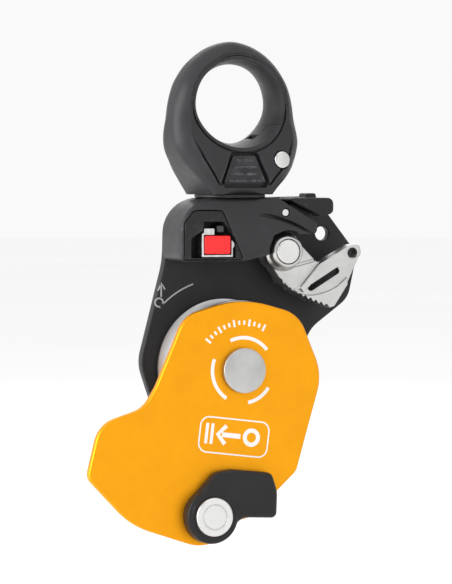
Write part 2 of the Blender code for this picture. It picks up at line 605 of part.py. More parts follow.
def make_cam(looks):
    turn = pivot("cam_axis", *CAM_PIVOT, turn_y=CAM_TURN)
    body = fillet([*sharp(arc(0, 0, 6.4, 50, 215, 12)), *sharp(cam_face()),
                   (20.4, -18.6, 1.0), (25.6, -10.0, 6.0), (29.9, 0.4, 3.0), (28.6, 4.0, 1.6),
                   (25.0, 3.4, 2.0), (13.6, -3.6, 1.6)])
    cam = prism("cam", body, -CAM_HALF, CAM_HALF, turn, looks["cast_stainless"])
    join(cam, rod("cam_boss", 5.6, -7.0, 5.2, turn, sides=32))
    slot = fillet([(11.2, -14.0, 1.2), (22.6, -6.4, 1.2), (21.2, -4.3, 1.2), (9.8, -11.9, 1.2)])
    cut(cam, prism("grip_slot", slot, -12, 12, turn))
    cut(cam, rod("tip_hole", 1.9, -12, 12, turn, centre=(26.2, 0, 0.6), sides=20))
    cut(cam, rod("cam_bore", 3.0 + PLAY, -12, 12, turn, sides=32))
    thin = [(10.0, 8.0), (10.0, -3.0), (22.0, -12.5), (40.0, -12.5), (40.0, 12.0)]
    cut(cam, prism("grip_relief", thin, 0.6, 12, turn))

    where = (CAM_PIVOT[0], 0, CAM_PIVOT[1])
    pin = [(0, -8.9), (3.8, -8.9), (4.4, -8.4), (4.4, -7.3), (3.0, -7.3), (3.0, FIXED_BACK + GAP),
           (4.6, FIXED_BACK + GAP), (4.6, FIXED_BACK + 1.2), (0, FIXED_BACK + 1.2)]
    lathe("cam_pin", pin, None, looks["stainless"], centre=where, sides=32)
    coil("cam_spring", 4.3, 0.5, 6.2, 8.3, 1.8, None, looks["spring_steel"], centre=where,
         steps=18)


def make_catch(looks):
    """The lever that holds the cam open. Its knob stands out of the head at the top right."""
    turn = pivot("catch_axis", *CATCH_PIVOT)
    arm = fillet([*sharp(arc(0, 0, 3.5, 60, 290, 10)), (2.0, -4.6, 0.5), (3.4, -2.0, 0.5),
                  (12.0, -1.4, 0), (14.0, 2.0, 0)])
    catch = prism("catch_lever", arm, -2.7, 2.7, turn, looks["black_nylon"])
    knob = fillet([(-0.4, 5.2, 0.8), (18.0, 5.2, 2.2), (18.0, -0.4, 2.0), (13.6, -1.4, 0.8)])
    join(catch, prism("knob", knob, -8.6, 5.5, turn))
    join(catch, prism("thumb_ridge", fillet([(8.9, 4.0, 0), (8.9, 6.8, 0.8), (12.7, 6.8, 0.8),
                                             (12.7, 4.0, 0)]), -5.0, 2.0, turn))
    cut(catch, rod("catch_hub", 1.4 + PLAY, -12, 12, turn, sides=20))
    where = (CATCH_PIVOT[0], 0, CATCH_PIVOT[1])
    rod("catch_pin", 1.4, -7.2, FIXED_BACK, None, looks["stainless"], where, sides=20)


def main():
    clear_scene()
    make_middle()
    looks = make_materials()
    make_swivel(looks)
    make_fixed_plate(looks)
    make_screws(looks)
    make_head(looks)
    make_latch(looks)
    make_axle(looks)
    make_sheave(looks)
    make_side_plate(looks)
    make_cam(looks)
    make_catch(looks)


main()
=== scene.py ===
"""The looks of a progress-capture rope pulley with a gated swivel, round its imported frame.

Every visible piece is drawn here again, finer than the frame's solids and in the same places.
Lengths are millimetres from the middle of the sheave, which the frame gives. X runs towards the
toothed cam, Y from the front to the back and Z up to the swivel eye.
"""

import json
import math

import bmesh
import bpy
from mathutils import Matrix, Vector

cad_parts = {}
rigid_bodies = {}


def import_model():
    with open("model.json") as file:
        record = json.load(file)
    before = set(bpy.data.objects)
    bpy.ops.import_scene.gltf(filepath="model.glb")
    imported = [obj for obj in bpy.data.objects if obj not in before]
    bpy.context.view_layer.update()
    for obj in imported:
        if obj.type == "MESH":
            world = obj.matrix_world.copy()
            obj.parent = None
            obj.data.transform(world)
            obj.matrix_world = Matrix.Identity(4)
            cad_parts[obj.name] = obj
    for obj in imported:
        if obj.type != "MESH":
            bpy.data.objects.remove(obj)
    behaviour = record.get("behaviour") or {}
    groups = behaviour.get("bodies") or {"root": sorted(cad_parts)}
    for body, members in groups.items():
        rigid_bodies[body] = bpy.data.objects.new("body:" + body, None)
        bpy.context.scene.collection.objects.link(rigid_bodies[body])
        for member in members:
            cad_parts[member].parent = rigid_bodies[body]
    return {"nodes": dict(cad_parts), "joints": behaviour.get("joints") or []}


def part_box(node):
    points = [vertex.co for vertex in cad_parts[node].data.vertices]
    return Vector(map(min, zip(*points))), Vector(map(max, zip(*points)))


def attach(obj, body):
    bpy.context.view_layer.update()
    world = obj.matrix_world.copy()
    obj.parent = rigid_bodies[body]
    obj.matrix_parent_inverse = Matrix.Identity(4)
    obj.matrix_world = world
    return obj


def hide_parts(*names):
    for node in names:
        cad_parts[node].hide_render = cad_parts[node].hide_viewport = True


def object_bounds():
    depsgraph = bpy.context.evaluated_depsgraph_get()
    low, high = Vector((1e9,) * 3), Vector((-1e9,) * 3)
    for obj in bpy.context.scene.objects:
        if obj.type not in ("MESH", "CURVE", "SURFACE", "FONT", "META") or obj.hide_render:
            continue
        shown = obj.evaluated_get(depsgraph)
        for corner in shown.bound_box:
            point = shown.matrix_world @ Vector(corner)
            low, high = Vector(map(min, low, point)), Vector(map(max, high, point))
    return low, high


for leftover in list(bpy.data.objects):
    bpy.data.objects.remove(leftover, do_unlink=True)
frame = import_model()
CAD_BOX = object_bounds()

MM = 0.001


def middle_of(node):
    """The middle of a frame node's box, in millimetres."""
    low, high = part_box(node)
    return (low + high) / 2 / MM


def joint_spot(name):
    """Where a joint is, from the middle of the sheave."""
    found = next(joint for joint in frame["joints"] if joint["name"] == name)
    return Vector(found["pos_m"]) / MM - MIDDLE


MIDDLE = middle_of("sheave")
LEVER_AT = joint_spot("lever_hinge")
CAM_AT = joint_spot("cam_hinge")
CATCH_AT = joint_spot("catch_hinge")
LEVER_AXIS, CAM_AXIS, CATCH_AXIS = ((at.x, 0, at.z) for at in (LEVER_AT, CAM_AT, CATCH_AT))

# Where each body's pieces are drawn: its own square frame, turned and moved to its place at rest
EYE_TURN = 8.0  # degrees round Z, of the eye on the head
CAM_TURN = 3.0  # degrees round Y, of the cam from its drawing
BASE = Matrix.Translation(MIDDLE)
HALF_TURN = Matrix.Rotation(math.pi, 4, "Y")
EYE = BASE @ Matrix.Rotation(math.radians(EYE_TURN), 4, "Z")
SWING = BASE @ HALF_TURN
LEVER = BASE @ Matrix.Translation(LEVER_AXIS) @ HALF_TURN
CAM = BASE @ Matrix.Translation(CAM_AXIS) @ Matrix.Rotation(math.radians(CAM_TURN), 4, "Y")
CATCH = BASE @ Matrix.Translation(CATCH_AXIS)

PLATE_INNER = 9.3  # from the middle of the sheave to the inner face of each side plate
MOBILE_FRONT = (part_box("mobile_side_plate")[0] / MM - MIDDLE).y
FIXED_BACK = (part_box("fixed_side_plate")[1] / MM - MIDDLE).y
AXLE_R = 5.0
CAM_PIN_R = 3.0
LEVER_RIVET_R = 3.0
CATCH_PIN_R = 1.4
PLAY = 0.15  # between a round piece and its bore
GAP = 0.3  # between neighbouring pieces
HARD = 0.01  # the rounding of edges that another step softens or that cut something
SAME_POINT = 0.01  # points nearer than this are one
THROUGH = 12  # how far a cut through the frame, the cam or the catch reaches either way
EYE_THROUGH = 20  # the same for the eye and its gate
SHARP_DEG = 32.0  # folds sharper than this keep a hard edge
SOFT_SHARP_DEG = 60.0  # the same for cast and moulded skins


# -------------------- outlines


def fillet(corners, step=7.0):
    """A closed outline from corners (x, z, radius), each corner rounded by an arc of its radius."""
    points = []
    for i, (x, z, radius) in enumerate(corners):
        corner = Vector((x, z))
        if radius == 0:
            points.append(corner)
            continue
        before = (Vector(corners[i - 1][:2]) - corner).normalized()
        after = (Vector(corners[(i + 1) % len(corners)][:2]) - corner).normalized()
        half = before.angle(after) / 2
        centre = corner + (before + after).normalized() * (radius / math.sin(half))
        start = corner + before * (radius / math.tan(half)) - centre
        end = corner + after * (radius / math.tan(half)) - centre
        turn = math.atan2(start.x * end.y - start.y * end.x, start.dot(end))
        count = max(2, math.ceil(abs(math.degrees(turn)) / step))
        points += [centre + Matrix.Rotation(turn * k / count, 2) @ start for k in range(count + 1)]
    return [p for i, p in enumerate(points) if (p - points[i - 1]).length > SAME_POINT]


def sharp(points):
    """Points as the corners of an outline that stay sharp."""
    return [(p.x, p.y, 0) for p in points]


def arc(cx, cz, radius, start, end, step=4.0):
    """Points on an arc, angles in degrees from +X towards +Z."""
    count = max(2, math.ceil(abs(end - start) / step))
    angles = (math.radians(start + (end - start) * k / count) for k in range(count + 1))
    return [Vector((cx + radius * math.cos(a), cz + radius * math.sin(a))) for a in angles]


def circle(cx, cz, radius, step=5.0):
    """A closed round outline."""
    return arc(cx, cz, radius, 0, 360, step)[:-1]


def spline(points, per):
    """A smooth open path through the points, with this many steps between each two."""
    ends = [points[0] * 2 - points[1], *points, points[-1] * 2 - points[-2]]
    path = []
    for p0, p1, p2, p3 in zip(ends, ends[1:], ends[2:], ends[3:]):
        for k in range(per):
            t = k / per
            path.append(0.5 * (2 * p1 + (p2 - p0) * t + (2 * p0 - 5 * p1 + 4 * p2 - p3) * t * t
                               + (3 * p1 - p0 - 3 * p2 + p3) * t ** 3))
    return [*path, points[-1]]


def inset(path, distance):
    """The closed path moved inwards by a distance, or outwards by a negative one."""
    count = len(path)
    area = sum(path[i - 1].x * path[i].y - path[i].x * path[i - 1].y for i in range(count))
    side = distance if area > 0 else -distance
    least = 0.4  # keeps very sharp corners from running far out
    moved = []
    for i, point in enumerate(path):
        before = (point - path[i - 1]).normalized()
        after = (path[(i + 1) % count] - point).normalized()
        normal = Vector((-before.y, before.x))
        other = Vector((-after.y, after.x))
        middle = (normal + other).normalized()
        moved.append(point + middle * (side / max(least, middle.dot(normal))))
    return moved


# -------------------- meshes


def into_object(name, mesh_data, place):
    """A bmesh drawn in millimetres becomes an object whose mesh is in its place."""
    bmesh.ops.recalc_face_normals(mesh_data, faces=mesh_data.faces)
    mesh = bpy.data.meshes.new(name)
    mesh_data.to_mesh(mesh)
    mesh_data.free()
    mesh.transform(Matrix.Scale(MM, 4) @ place)
    obj = bpy.data.objects.new(name, mesh)
    bpy.context.scene.collection.objects.link(obj)
    return obj


def bridge(mesh_data, rings, wrap=False):
    """Quads between neighbouring rings of vertices."""
    pairs = list(zip(rings, rings[1:]))
    if wrap:
        pairs.append((rings[-1], rings[0]))
    for low, high in pairs:
        count = max(len(low), len(high))
        for k in range(count):
            n = (k + 1) % count
            if len(low) == 1:
                mesh_data.faces.new((low[0], high[n], high[k]))
            elif len(high) == 1:
                mesh_data.faces.new((low[k], low[n], high[0]))
            else:
                mesh_data.faces.new((low[k], low[n], high[n], high[k]))


def plate(name, outer, y0, y1, edge=0.5, place=BASE, holes=(), steps=3, back_edge=None):
    """A slab from y0 to y1 with rounded edges, and holes with rounded edges. A level may be a
    number or a function of the point in X and Z."""
    back_edge = edge if back_edge is None else back_edge
    turns = [math.radians(90 * k / steps) for k in range(steps + 1)]
    section = [(edge * (1 - math.sin(a)), y0, edge * (1 - math.cos(a))) for a in turns]
    section += [(back_edge * (1 - math.sin(a)), y1, -back_edge * (1 - math.cos(a)))
                for a in reversed(turns)]
    mesh_data = bmesh.new()
    faces = ([], [])
    for number, path in enumerate((outer, *holes)):
        rings = []
        for depth, level, drop in section:
            moved = inset(path, depth if number == 0 else -depth)
            rings.append([
                mesh_data.verts.new((p.x, (level(p) if callable(level) else level) + drop, p.y))
                for p in moved
            ])
        bridge(mesh_data, rings)
        for face, ring in ((faces[0], rings[0]), (faces[1], rings[-1])):
            face += [mesh_data.edges.get((ring[k - 1], ring[k])) for k in range(len(ring))]
    for face, normal in ((faces[0], (0, -1, 0)), (faces[1], (0, 1, 0))):
        bmesh.ops.triangle_fill(mesh_data, use_beauty=True, edges=face, normal=normal)
    return into_object(name, mesh_data, place)


def lathe(name, corners, place=BASE, centre=(0, 0, 0), axis=(0, 1, 0), sides=96, closed=False):
    """The profile (radius, distance along axis, rounding) turned round an axis. An open profile
    starts and ends on the axis. A closed one makes a ring."""
    mesh_data = bmesh.new()
    turn = Vector((0, 0, 1)).rotation_difference(Vector(axis))
    rings = []
    for radius, along in fillet(corners, 15.0):
        if radius < SAME_POINT:
            spots = [Vector((0, 0, along))]
        else:
            angles = [2 * math.pi * k / sides for k in range(sides)]
            spots = [Vector((radius * math.cos(a), radius * math.sin(a), along)) for a in angles]
        rings.append([mesh_data.verts.new(Vector(centre) + turn @ p) for p in spots])
    bridge(mesh_data, rings, closed)
    return into_object(name, mesh_data, place)


def rod(name, radius, start, end, place=BASE, centre=(0, 0, 0), axis=(0, 1, 0), sides=48):
    """A plain cylinder between two distances along its axis."""
    corners = [(0, start, 0), (radius, start, 0), (radius, end, 0), (0, end, 0)]
    return lathe(name, corners, place, centre, axis, sides)


def coil(name, radius, wire, start, end, turns, place, centre=(0, 0, 0), steps=36, sides=12):
    """A round wire wound round Y, its ends rounded off."""
    end_rings, end_turn, end_step = 2, 40, 0.4  # the rounding of each end
    mesh_data = bmesh.new()
    count = round(turns * steps)
    around = [2 * math.pi * k / sides for k in range(sides)]
    rings = []
    for i in range(-end_rings, count + end_rings + 1):
        share = min(max(i / count, 0.0), 1.0)
        past = min(i, 0) or max(i - count, 0)
        thin = wire * math.cos(math.radians(abs(past) * end_turn))
        angle = 2 * math.pi * turns * share + past * end_step * wire / radius
        out = Vector((math.cos(angle), 0, math.sin(angle)))
        spot = Vector(centre) + out * radius + Vector((0, start + (end - start) * share, 0))
        rings.append([
            mesh_data.verts.new(spot + (out * math.cos(b) + Vector((0, math.sin(b), 0))) * thin)
            for b in around
        ])
    bridge(mesh_data, rings)
    mesh_data.faces.new(rings[0])
    mesh_data.faces.new(reversed(rings[-1]))
    return into_object(name, mesh_data, place)


def ribbon(mesh_data, path, width, front, back, closed=False):
    """A flat printed line along a path, from the level front to the level back."""
    count = len(path)
    rings = []
    for i, point in enumerate(path):
        before = path[i - 1] if closed or i else point
        after = path[(i + 1) % count] if closed or i < count - 1 else point
        along = (after - before).normalized()
        out = Vector((-along.y, along.x)) * (width / 2)
        spots = ((point + out, front), (point - out, front), (point - out, back),
                 (point + out, back))
        rings.append([mesh_data.verts.new((p.x, y, p.y)) for p, y in spots])
    bridge(mesh_data, rings, closed)
    if not closed:
        mesh_data.faces.new(rings[0])
        mesh_data.faces.new(reversed(rings[-1]))


def settle(obj):
    """Applies the modifiers."""
    graph = bpy.context.evaluated_depsgraph_get()
    mesh = bpy.data.meshes.new_from_object(obj.evaluated_get(graph))
    obj.modifiers.clear()
    obj.data = mesh


def combine(obj, operation, others):
    """Adds solids to an object or takes them away, and deletes them."""
    for other in others:
        made = obj.modifiers.new(other.name, "BOOLEAN")
        made.operation = operation
        made.object = other
        made.solver = "MANIFOLD"
    settle(obj)
    for other in others:
        bpy.data.objects.remove(other)
    return obj


def cut(obj, *others):
    return combine(obj, "DIFFERENCE", others)


def join(obj, *others):
    return combine(obj, "UNION", others)


SOFTEN = 0.5
FACES_KEPT = 0.35


def melt(obj, voxel, rounds):
    """Runs the shapes of an object into one skin and softens its edges, as casting does."""
    remesh = obj.modifiers.new("skin", "REMESH")
    remesh.mode = "VOXEL"
    remesh.voxel_size = voxel * MM
    smooth = obj.modifiers.new("soften", "SMOOTH")
    smooth.factor = SOFTEN
    smooth.iterations = rounds
    thin = obj.modifiers.new("thin", "DECIMATE")
    thin.ratio = FACES_KEPT
    settle(obj)


# -------------------- materials


class Graph:
    """A material's nodes, with short ways to add and join them."""

    def __init__(self, name):
        self.material = bpy.data.materials.new(name)
        self.material.use_nodes = True
        self.tree = self.material.node_tree
        self.shader = self.tree.nodes["Principled BSDF"]

    def add(self, kind, settings=(), **inputs):
        """A new node, with its settings and what goes into its sockets."""
        node = self.tree.nodes.new("ShaderNode" + kind)
        for key, value in dict(settings).items():
            setattr(node, key, value)
        for key, value in inputs.items():
            self.feed(node, key.replace("_", " "), value)
        return node

    def feed(self, node, key, value):
        """Puts a value, or another node's output, into a socket given by name or number."""
        socket = node.inputs[int(key)] if key.isdigit() else node.inputs[key]
        if isinstance(value, bpy.types.NodeSocket):
            self.tree.links.new(value, socket)
        elif isinstance(value, bpy.types.Node):
            self.tree.links.new(value.outputs[0], socket)
        else:
            socket.default_value = value

    def noise(self, vector, scale, detail=3.0, rough=0.55):
        return self.add("TexNoise", Vector=vector, Scale=scale, Detail=detail, Roughness=rough)

    def ranged(self, value, low, high, to_low=0.0, to_high=1.0):
        node = self.add("MapRange", Value=value)
        for key, number in (("From Min", low), ("From Max", high), ("To Min", to_low),
                            ("To Max", to_high)):
            node.inputs[key].default_value = number
        return node

    def mixed(self, share, first, second):
        node = self.add("Mix", {"data_type": "RGBA"})
        for key, value in ((0, share), (6, first), (7, second)):
            self.feed(node, str(key), value)
        return node.outputs[2]

    def times(self, first, second):
        node = self.add("Math", {"operation": "MULTIPLY"})
        self.feed(node, "0", first)
        self.feed(node, "1", second)
        return node


def rgba(colour, share=1.0):
    """A socket's colour, brighter or darker by a share."""
    return (*(min(1.0, c * share) for c in colour), 1.0)


NOISE_RANGE = (0.3, 0.7)  # the part of a noise's values that is spread from none to full


def surface(name, colour, metallic, rough, grain=(0.25, 0.3), mottle=0.1, spread=0.08,
            wear_and_sheen=None, turned=None, scratch=0.0, gloss=0.5):
    """A procedural finish. grain is the size in millimetres and the strength of its bumps,
    mottle the change of colour over the surface, spread the change of roughness, wear_and_sheen a
    colour and an amount for lighter edges, partly rubbed wear and partly a painted highlight,
    turned the centre of fine lathe rings round Y, scratch the strength of fine scratches and gloss
    the strength of its reflections."""
    graph = Graph(name)
    where = graph.add("TexCoord").outputs["Object"]
    grain_size, grain_strength = grain
    broad = graph.noise(where, 90.0, 4.0)
    fine = graph.noise(where, 1.0 / (grain_size * MM), 2.0)
    smudge = graph.noise(where, 260.0, 6.0, 0.7)
    base = graph.mixed(graph.ranged(broad, *NOISE_RANGE), rgba(colour, 1 - mottle),
                       rgba(colour, 1 + mottle))
    roughness = graph.ranged(smudge, *NOISE_RANGE, rough - spread, rough + spread)
    height = fine.outputs[0]
    if turned is not None:
        spot = (BASE @ Vector(turned)) * -MM
        moved = graph.add("Mapping", Vector=where, Location=spot)
        rings = graph.add("TexWave", {"wave_type": "RINGS", "rings_direction": "Y"},
                          Vector=moved, Scale=900.0, Distortion=0.6, Detail=2.0)
        rings.inputs["Detail Scale"].default_value = 0.4
        height = graph.mixed(0.35, rings.outputs[0], fine.outputs[0])
        smeared = roughness
        roughness = graph.add("Math", {"operation": "ADD"})
        graph.feed(roughness, "0", smeared)
        graph.feed(roughness, "1", graph.ranged(rings, 0.0, 1.0, 0.0, 0.1))
    if scratch:
        stretched = graph.add("Mapping", Vector=where, Rotation=(0.3, 0.9, 0.2),
                              Scale=(1.0, 1.0, 0.03))
        lines = graph.noise(stretched, 2600.0, 2.0)
        marks = graph.times(graph.ranged(lines, 0.66, 0.72), graph.ranged(broad, 0.45, 0.6))
        base = graph.mixed(graph.times(marks, scratch), base, rgba(colour, 1.7))
    # Lighter convex edges, partly rubbed wear and partly a painted highlight along the edges
    if wear_and_sheen:
        edge_colour, amount = wear_and_sheen
        edges = graph.ranged(graph.add("NewGeometry").outputs["Pointiness"], 0.52, 0.62)
        patchy = graph.ranged(graph.noise(where, 420.0, 5.0, 0.7), 0.42, 0.62)
        share = graph.times(graph.times(edges, patchy), amount)
        base = graph.mixed(share, base, rgba(edge_colour))
    bump = graph.add("Bump", Strength=grain_strength, Distance=0.05 * MM, Height=height)
    for key, value in (("Base Color", base), ("Metallic", metallic), ("Roughness", roughness),
                       ("Specular IOR Level", gloss), ("Normal", bump)):
        graph.feed(graph.shader, key, value)
    return graph.material


def make_looks():
    """Every finish by its short name."""
    return {
        # The edge colours of the forging, the nylon and the cast steel lighten their edges: partly
        # rubbed wear, partly a painted highlight
        "black_aluminium": surface("black_anodised_forging", (0.026, 0.026, 0.028), 0.0, 0.42,
                                   (0.16, 0.5), 0.12, 0.07, ((0.16, 0.16, 0.17), 0.45),
                                   gloss=0.22),
        "fixed_plate": surface("black_anodised_plate", (0.02, 0.02, 0.022), 0.0, 0.46,
                               (0.14, 0.5), 0.12, 0.07, scratch=0.25, gloss=0.2),
        "black_nylon": surface("black_moulded_nylon", (0.012, 0.012, 0.013), 0.0, 0.4,
                               (0.3, 0.8), 0.15, 0.08, ((0.08, 0.08, 0.085), 0.4), gloss=0.25),
        "orange_anodised": surface("orange_anodised_plate", (0.78, 0.322, 0.003), 0.8, 0.44,
                                   (0.13, 0.45), 0.035, 0.06, scratch=0.12),
        "stainless": surface("turned_stainless", (0.47, 0.47, 0.465), 1.0, 0.3, (0.2, 0.25),
                             0.12, 0.08, turned=(0, 0, 0)),
        "polished": surface("polished_rivet_steel", (0.64, 0.64, 0.63), 1.0, 0.26, (0.2, 0.1),
                            0.03, 0.05, turned=LEVER_AXIS),
        "pins": surface("plain_stainless_pins", (0.60, 0.60, 0.59), 1.0, 0.24, (0.3, 0.12),
                        0.05, 0.06, scratch=0.1),
        "cast_stainless": surface("tumbled_cast_stainless", (0.50, 0.50, 0.49), 1.0, 0.33,
                                  (0.45, 0.55), 0.08, 0.09, ((0.75, 0.75, 0.73), 0.7), scratch=0.2),
        "sheave_aluminium": surface("turned_aluminium", (0.52, 0.52, 0.53), 1.0, 0.32,
                                    (0.2, 0.25), 0.06, 0.06, turned=(0, 0, 0)),
        "red_plastic": surface("red_moulded_plastic", (1.0, 0.008, 0.01), 0.0, 0.55,
                               (0.35, 0.3), 0.05, 0.05),
        "spring_steel": surface("drawn_spring_steel", (0.3, 0.3, 0.31), 1.0, 0.3, (0.2, 0.2)),
        # Near-black steel for the latch bolt: its dark colour is painted shade, for the shadow the
        # bolt sits in
        "dark_steel_painted_shade": surface("spring_steel_painted_dark_shade", (0.05, 0.05, 0.052), 0.6, 0.4,
                                   (0.2, 0.2)),
        "seal_rubber": surface("black_seal_rubber", (0.02, 0.02, 0.02), 0.0, 0.7, (0.3, 0.6)),
        "print": surface("white_pad_print", (0.76, 0.75, 0.73), 0.0, 0.5, (0.12, 0.3), 0.04),
        "engraving": surface("laser_marked_grey", (0.36, 0.36, 0.36), 0.1, 0.55, (0.12, 0.4), 0.1),
    }


LOOKS = make_looks()


def paint(obj, look, shade=SHARP_DEG):
    """Gives an object its finish and smooth faces between its sharp folds."""
    obj.data.materials.clear()
    obj.data.materials.append(LOOKS[look])
    obj.data.shade_smooth()
    obj.data.set_sharp_from_angle(angle=math.radians(shade))


def dress(obj, look, body, *nodes, shade=SHARP_DEG):
    """Gives a piece its finish and its body, in place of frame nodes."""
    paint(obj, look, shade)
    weighted = obj.modifiers.new("even_faces", "WEIGHTED_NORMAL")
    weighted.keep_sharp = True
    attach(obj, body)
    if nodes:
        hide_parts(*nodes)


# -------------------- swivel eye and gate

EYE_FOOT = 61.6
EYE_CROWN = 115.4
EYE_HOLE_Z = 93.5
EYE_HOLE_R = (15.8, 13.9)  # across and up
EYE_FLARE = 1.5  # how much the hole widens from its middle to its rims
EYE_ROUND = 1.2  # the rounding of the rims
FLANK_START = math.radians(34)  # the flank leaves the face at an angle, which makes a crease
CLEFT_DEEPEST, CLEFT_TOP, CLEFT_SLOPE = 1.3, 80.0, 0.12  # the groove along the crease
# The groove round the mouth, as (distance from the rim, depth)
MOUTH_GROOVE = ((0.15, 0.0), (0.3, 0.9), (0.85, 0.9), (1.0, 0.0))
# Heights from foot to crown, with the reach to the left and to the right there
EYE_REACH = ((EYE_FOOT, 12.0, 11.7), (64.0, 14.0, 14.2), (67.0, 16.6, 17.8), (70.0, 19.2, 20.7),
             (73.0, 21.4, 22.8), (76.5, 23.5, 24.4), (80.0, 24.6, 25.3), (84.0, 24.9, 25.1),
             (88.4, 24.5, 24.5), (93.0, 23.8, 23.8), (98.0, 22.4, 22.3), (102.0, 20.7, 20.5),
             (107.0, 17.2, 17.0), (110.6, 13.1, 13.1), (113.1, 9.0, 9.0), (114.7, 4.6, 4.6))
# Half the depth at heights from foot to crown
EYE_DEPTHS = ((11.2, EYE_FOOT), (11.3, 66.6), (11.2, 70.6), (10.6, 75.0), (9.5, 79.5),
              (8.4, 84.0), (7.2, 90.0), (7.1, 98.0), (6.6, 107.0), (6.0, EYE_CROWN))
GATE_AT = (15.2, 73.8)
PARTING = Vector((6.0, 111.0))  # where the gate's free end meets the ring
PARTING_OUT = Vector((0.963, 0.272)).normalized()
LUG_R = 12.5
TONGUE_HALF = 2.6
GATE_RIVET_R = 1.9


def eye_depth(z):
    """Half the eye's depth at a height, smooth between the rows of its table."""
    rows = [Vector(row) for row in EYE_DEPTHS]
    if z <= rows[0].y:
        return rows[0].x
    for i in range(len(rows) - 1):
        if z <= rows[i + 1].y:
            p = [rows[max(i - 1, 0)], rows[i], rows[i + 1], rows[min(i + 2, len(rows) - 1)]]
            t = (z - p[1].y) / (p[2].y - p[1].y)
            span = p[2].y - p[1].y
            slope_1 = (p[2].x - p[0].x) / (p[2].y - p[0].y) * span
            slope_2 = (p[3].x - p[1].x) / (p[3].y - p[1].y) * span
            return (p[1].x * (2 * t ** 3 - 3 * t * t + 1) + slope_1 * (t ** 3 - 2 * t * t + t)
                    + p[2].x * (3 * t * t - 2 * t ** 3) + slope_2 * (t ** 3 - t * t))
    return rows[-1].x


def eye_section(spot):
    """Half of the band's section from the hole to a point of the outline, as (reach, depth)."""
    centre = Vector((0, EYE_HOLE_Z))
    reach = (spot - centre).length
    across, rise = (spot - centre) / reach
    hole = 1 / math.hypot(across / EYE_HOLE_R[0], rise / EYE_HOLE_R[1])
    rim = hole + EYE_FLARE
    mouth = rim + EYE_ROUND
    edge = min(3.4 + (spot.y - EYE_FOOT) * 0.13, 5.0, 0.7 * (reach - mouth))
    fall = min(1.6 + (spot.y - EYE_FOOT) * 0.4, 6.0, 0.9 * eye_depth(spot.y))
    cleft = max(0.0, min(CLEFT_DEEPEST, (CLEFT_TOP - spot.y) * CLEFT_SLOPE))

    def deep(along):
        return eye_depth(centre.y + rise * along)

    bore_steps, rim_steps, face_steps, flank_steps = 7, 4, 5, 9
    half = []
    for k in range(bore_steps + 1):
        share = k / bore_steps
        half.append((hole + EYE_FLARE * share ** 2, share * (deep(mouth) - EYE_ROUND)))
    for k in range(1, rim_steps + 1):
        a = math.radians(90 * k / rim_steps)
        half.append((rim + EYE_ROUND * (1 - math.cos(a)),
                     deep(mouth) - EYE_ROUND * (1 - math.sin(a))))
    half += [(mouth + out, deep(mouth + out) - down) for out, down in MOUTH_GROOVE]
    crease = reach - edge
    start, end = mouth + 1.1, crease - 1.1
    for k in range(face_steps + 1):
        along = start + (end - start) * k / face_steps
        half.append((along, deep(along)))
    half += [(crease - 0.9, deep(crease) - cleft), (crease - 0.15, deep(crease) - cleft),
             (crease, deep(crease))]
    first = FLANK_START
    for k in range(1, flank_steps + 1):
        a = first + (math.pi / 2 - first) * k / flank_steps
        out = (math.sin(a) - math.sin(first)) / (1 - math.sin(first))
        down = 1 - math.cos(a) / math.cos(first)
        half.append((crease + edge * out, deep(crease) - fall * down))
    return half


def eye_band(name):
    """The whole ring of the eye with its foot, from one section at each point of its outline."""
    right = [Vector((reach, z)) for z, _, reach in EYE_REACH]
    left = [Vector((-reach, z)) for z, reach, _ in reversed(EYE_REACH)]
    outline = spline([*right, Vector((0, EYE_CROWN)), *left], 6)
    foot, foot_steps = outline[-1], 14
    outline += [Vector((foot.x + (outline[0].x - foot.x) * k / foot_steps, EYE_FOOT))
                for k in range(1, foot_steps)]
    mesh_data = bmesh.new()
    rings = []
    for spot in outline:
        out = (spot - Vector((0, EYE_HOLE_Z))).normalized()
        half = eye_section(spot)
        section = [(r, -y) for r, y in half] + [(r, y) for r, y in reversed(half[1:])]
        rings.append([mesh_data.verts.new((out.x * r, y, EYE_HOLE_Z + out.y * r))
                      for r, y in section])
    bridge(mesh_data, rings, wrap=True)
    return into_object(name, mesh_data, EYE)


def gate_region(name, clearance):
    """The part of the ring that is the gate, less a clearance at its seams."""
    along = Vector((-PARTING_OUT.y, PARTING_OUT.x))
    line = PARTING + PARTING_OUT * clearance
    lug = arc(*GATE_AT, LUG_R + clearance, 129.4, 0)
    outline = [line - along * 12, *lug, Vector((32, GATE_AT[1])), Vector((32, 122)),
               line + along * 10]
    return plate(name, outline, -EYE_THROUGH, EYE_THROUGH, HARD, EYE, steps=1)


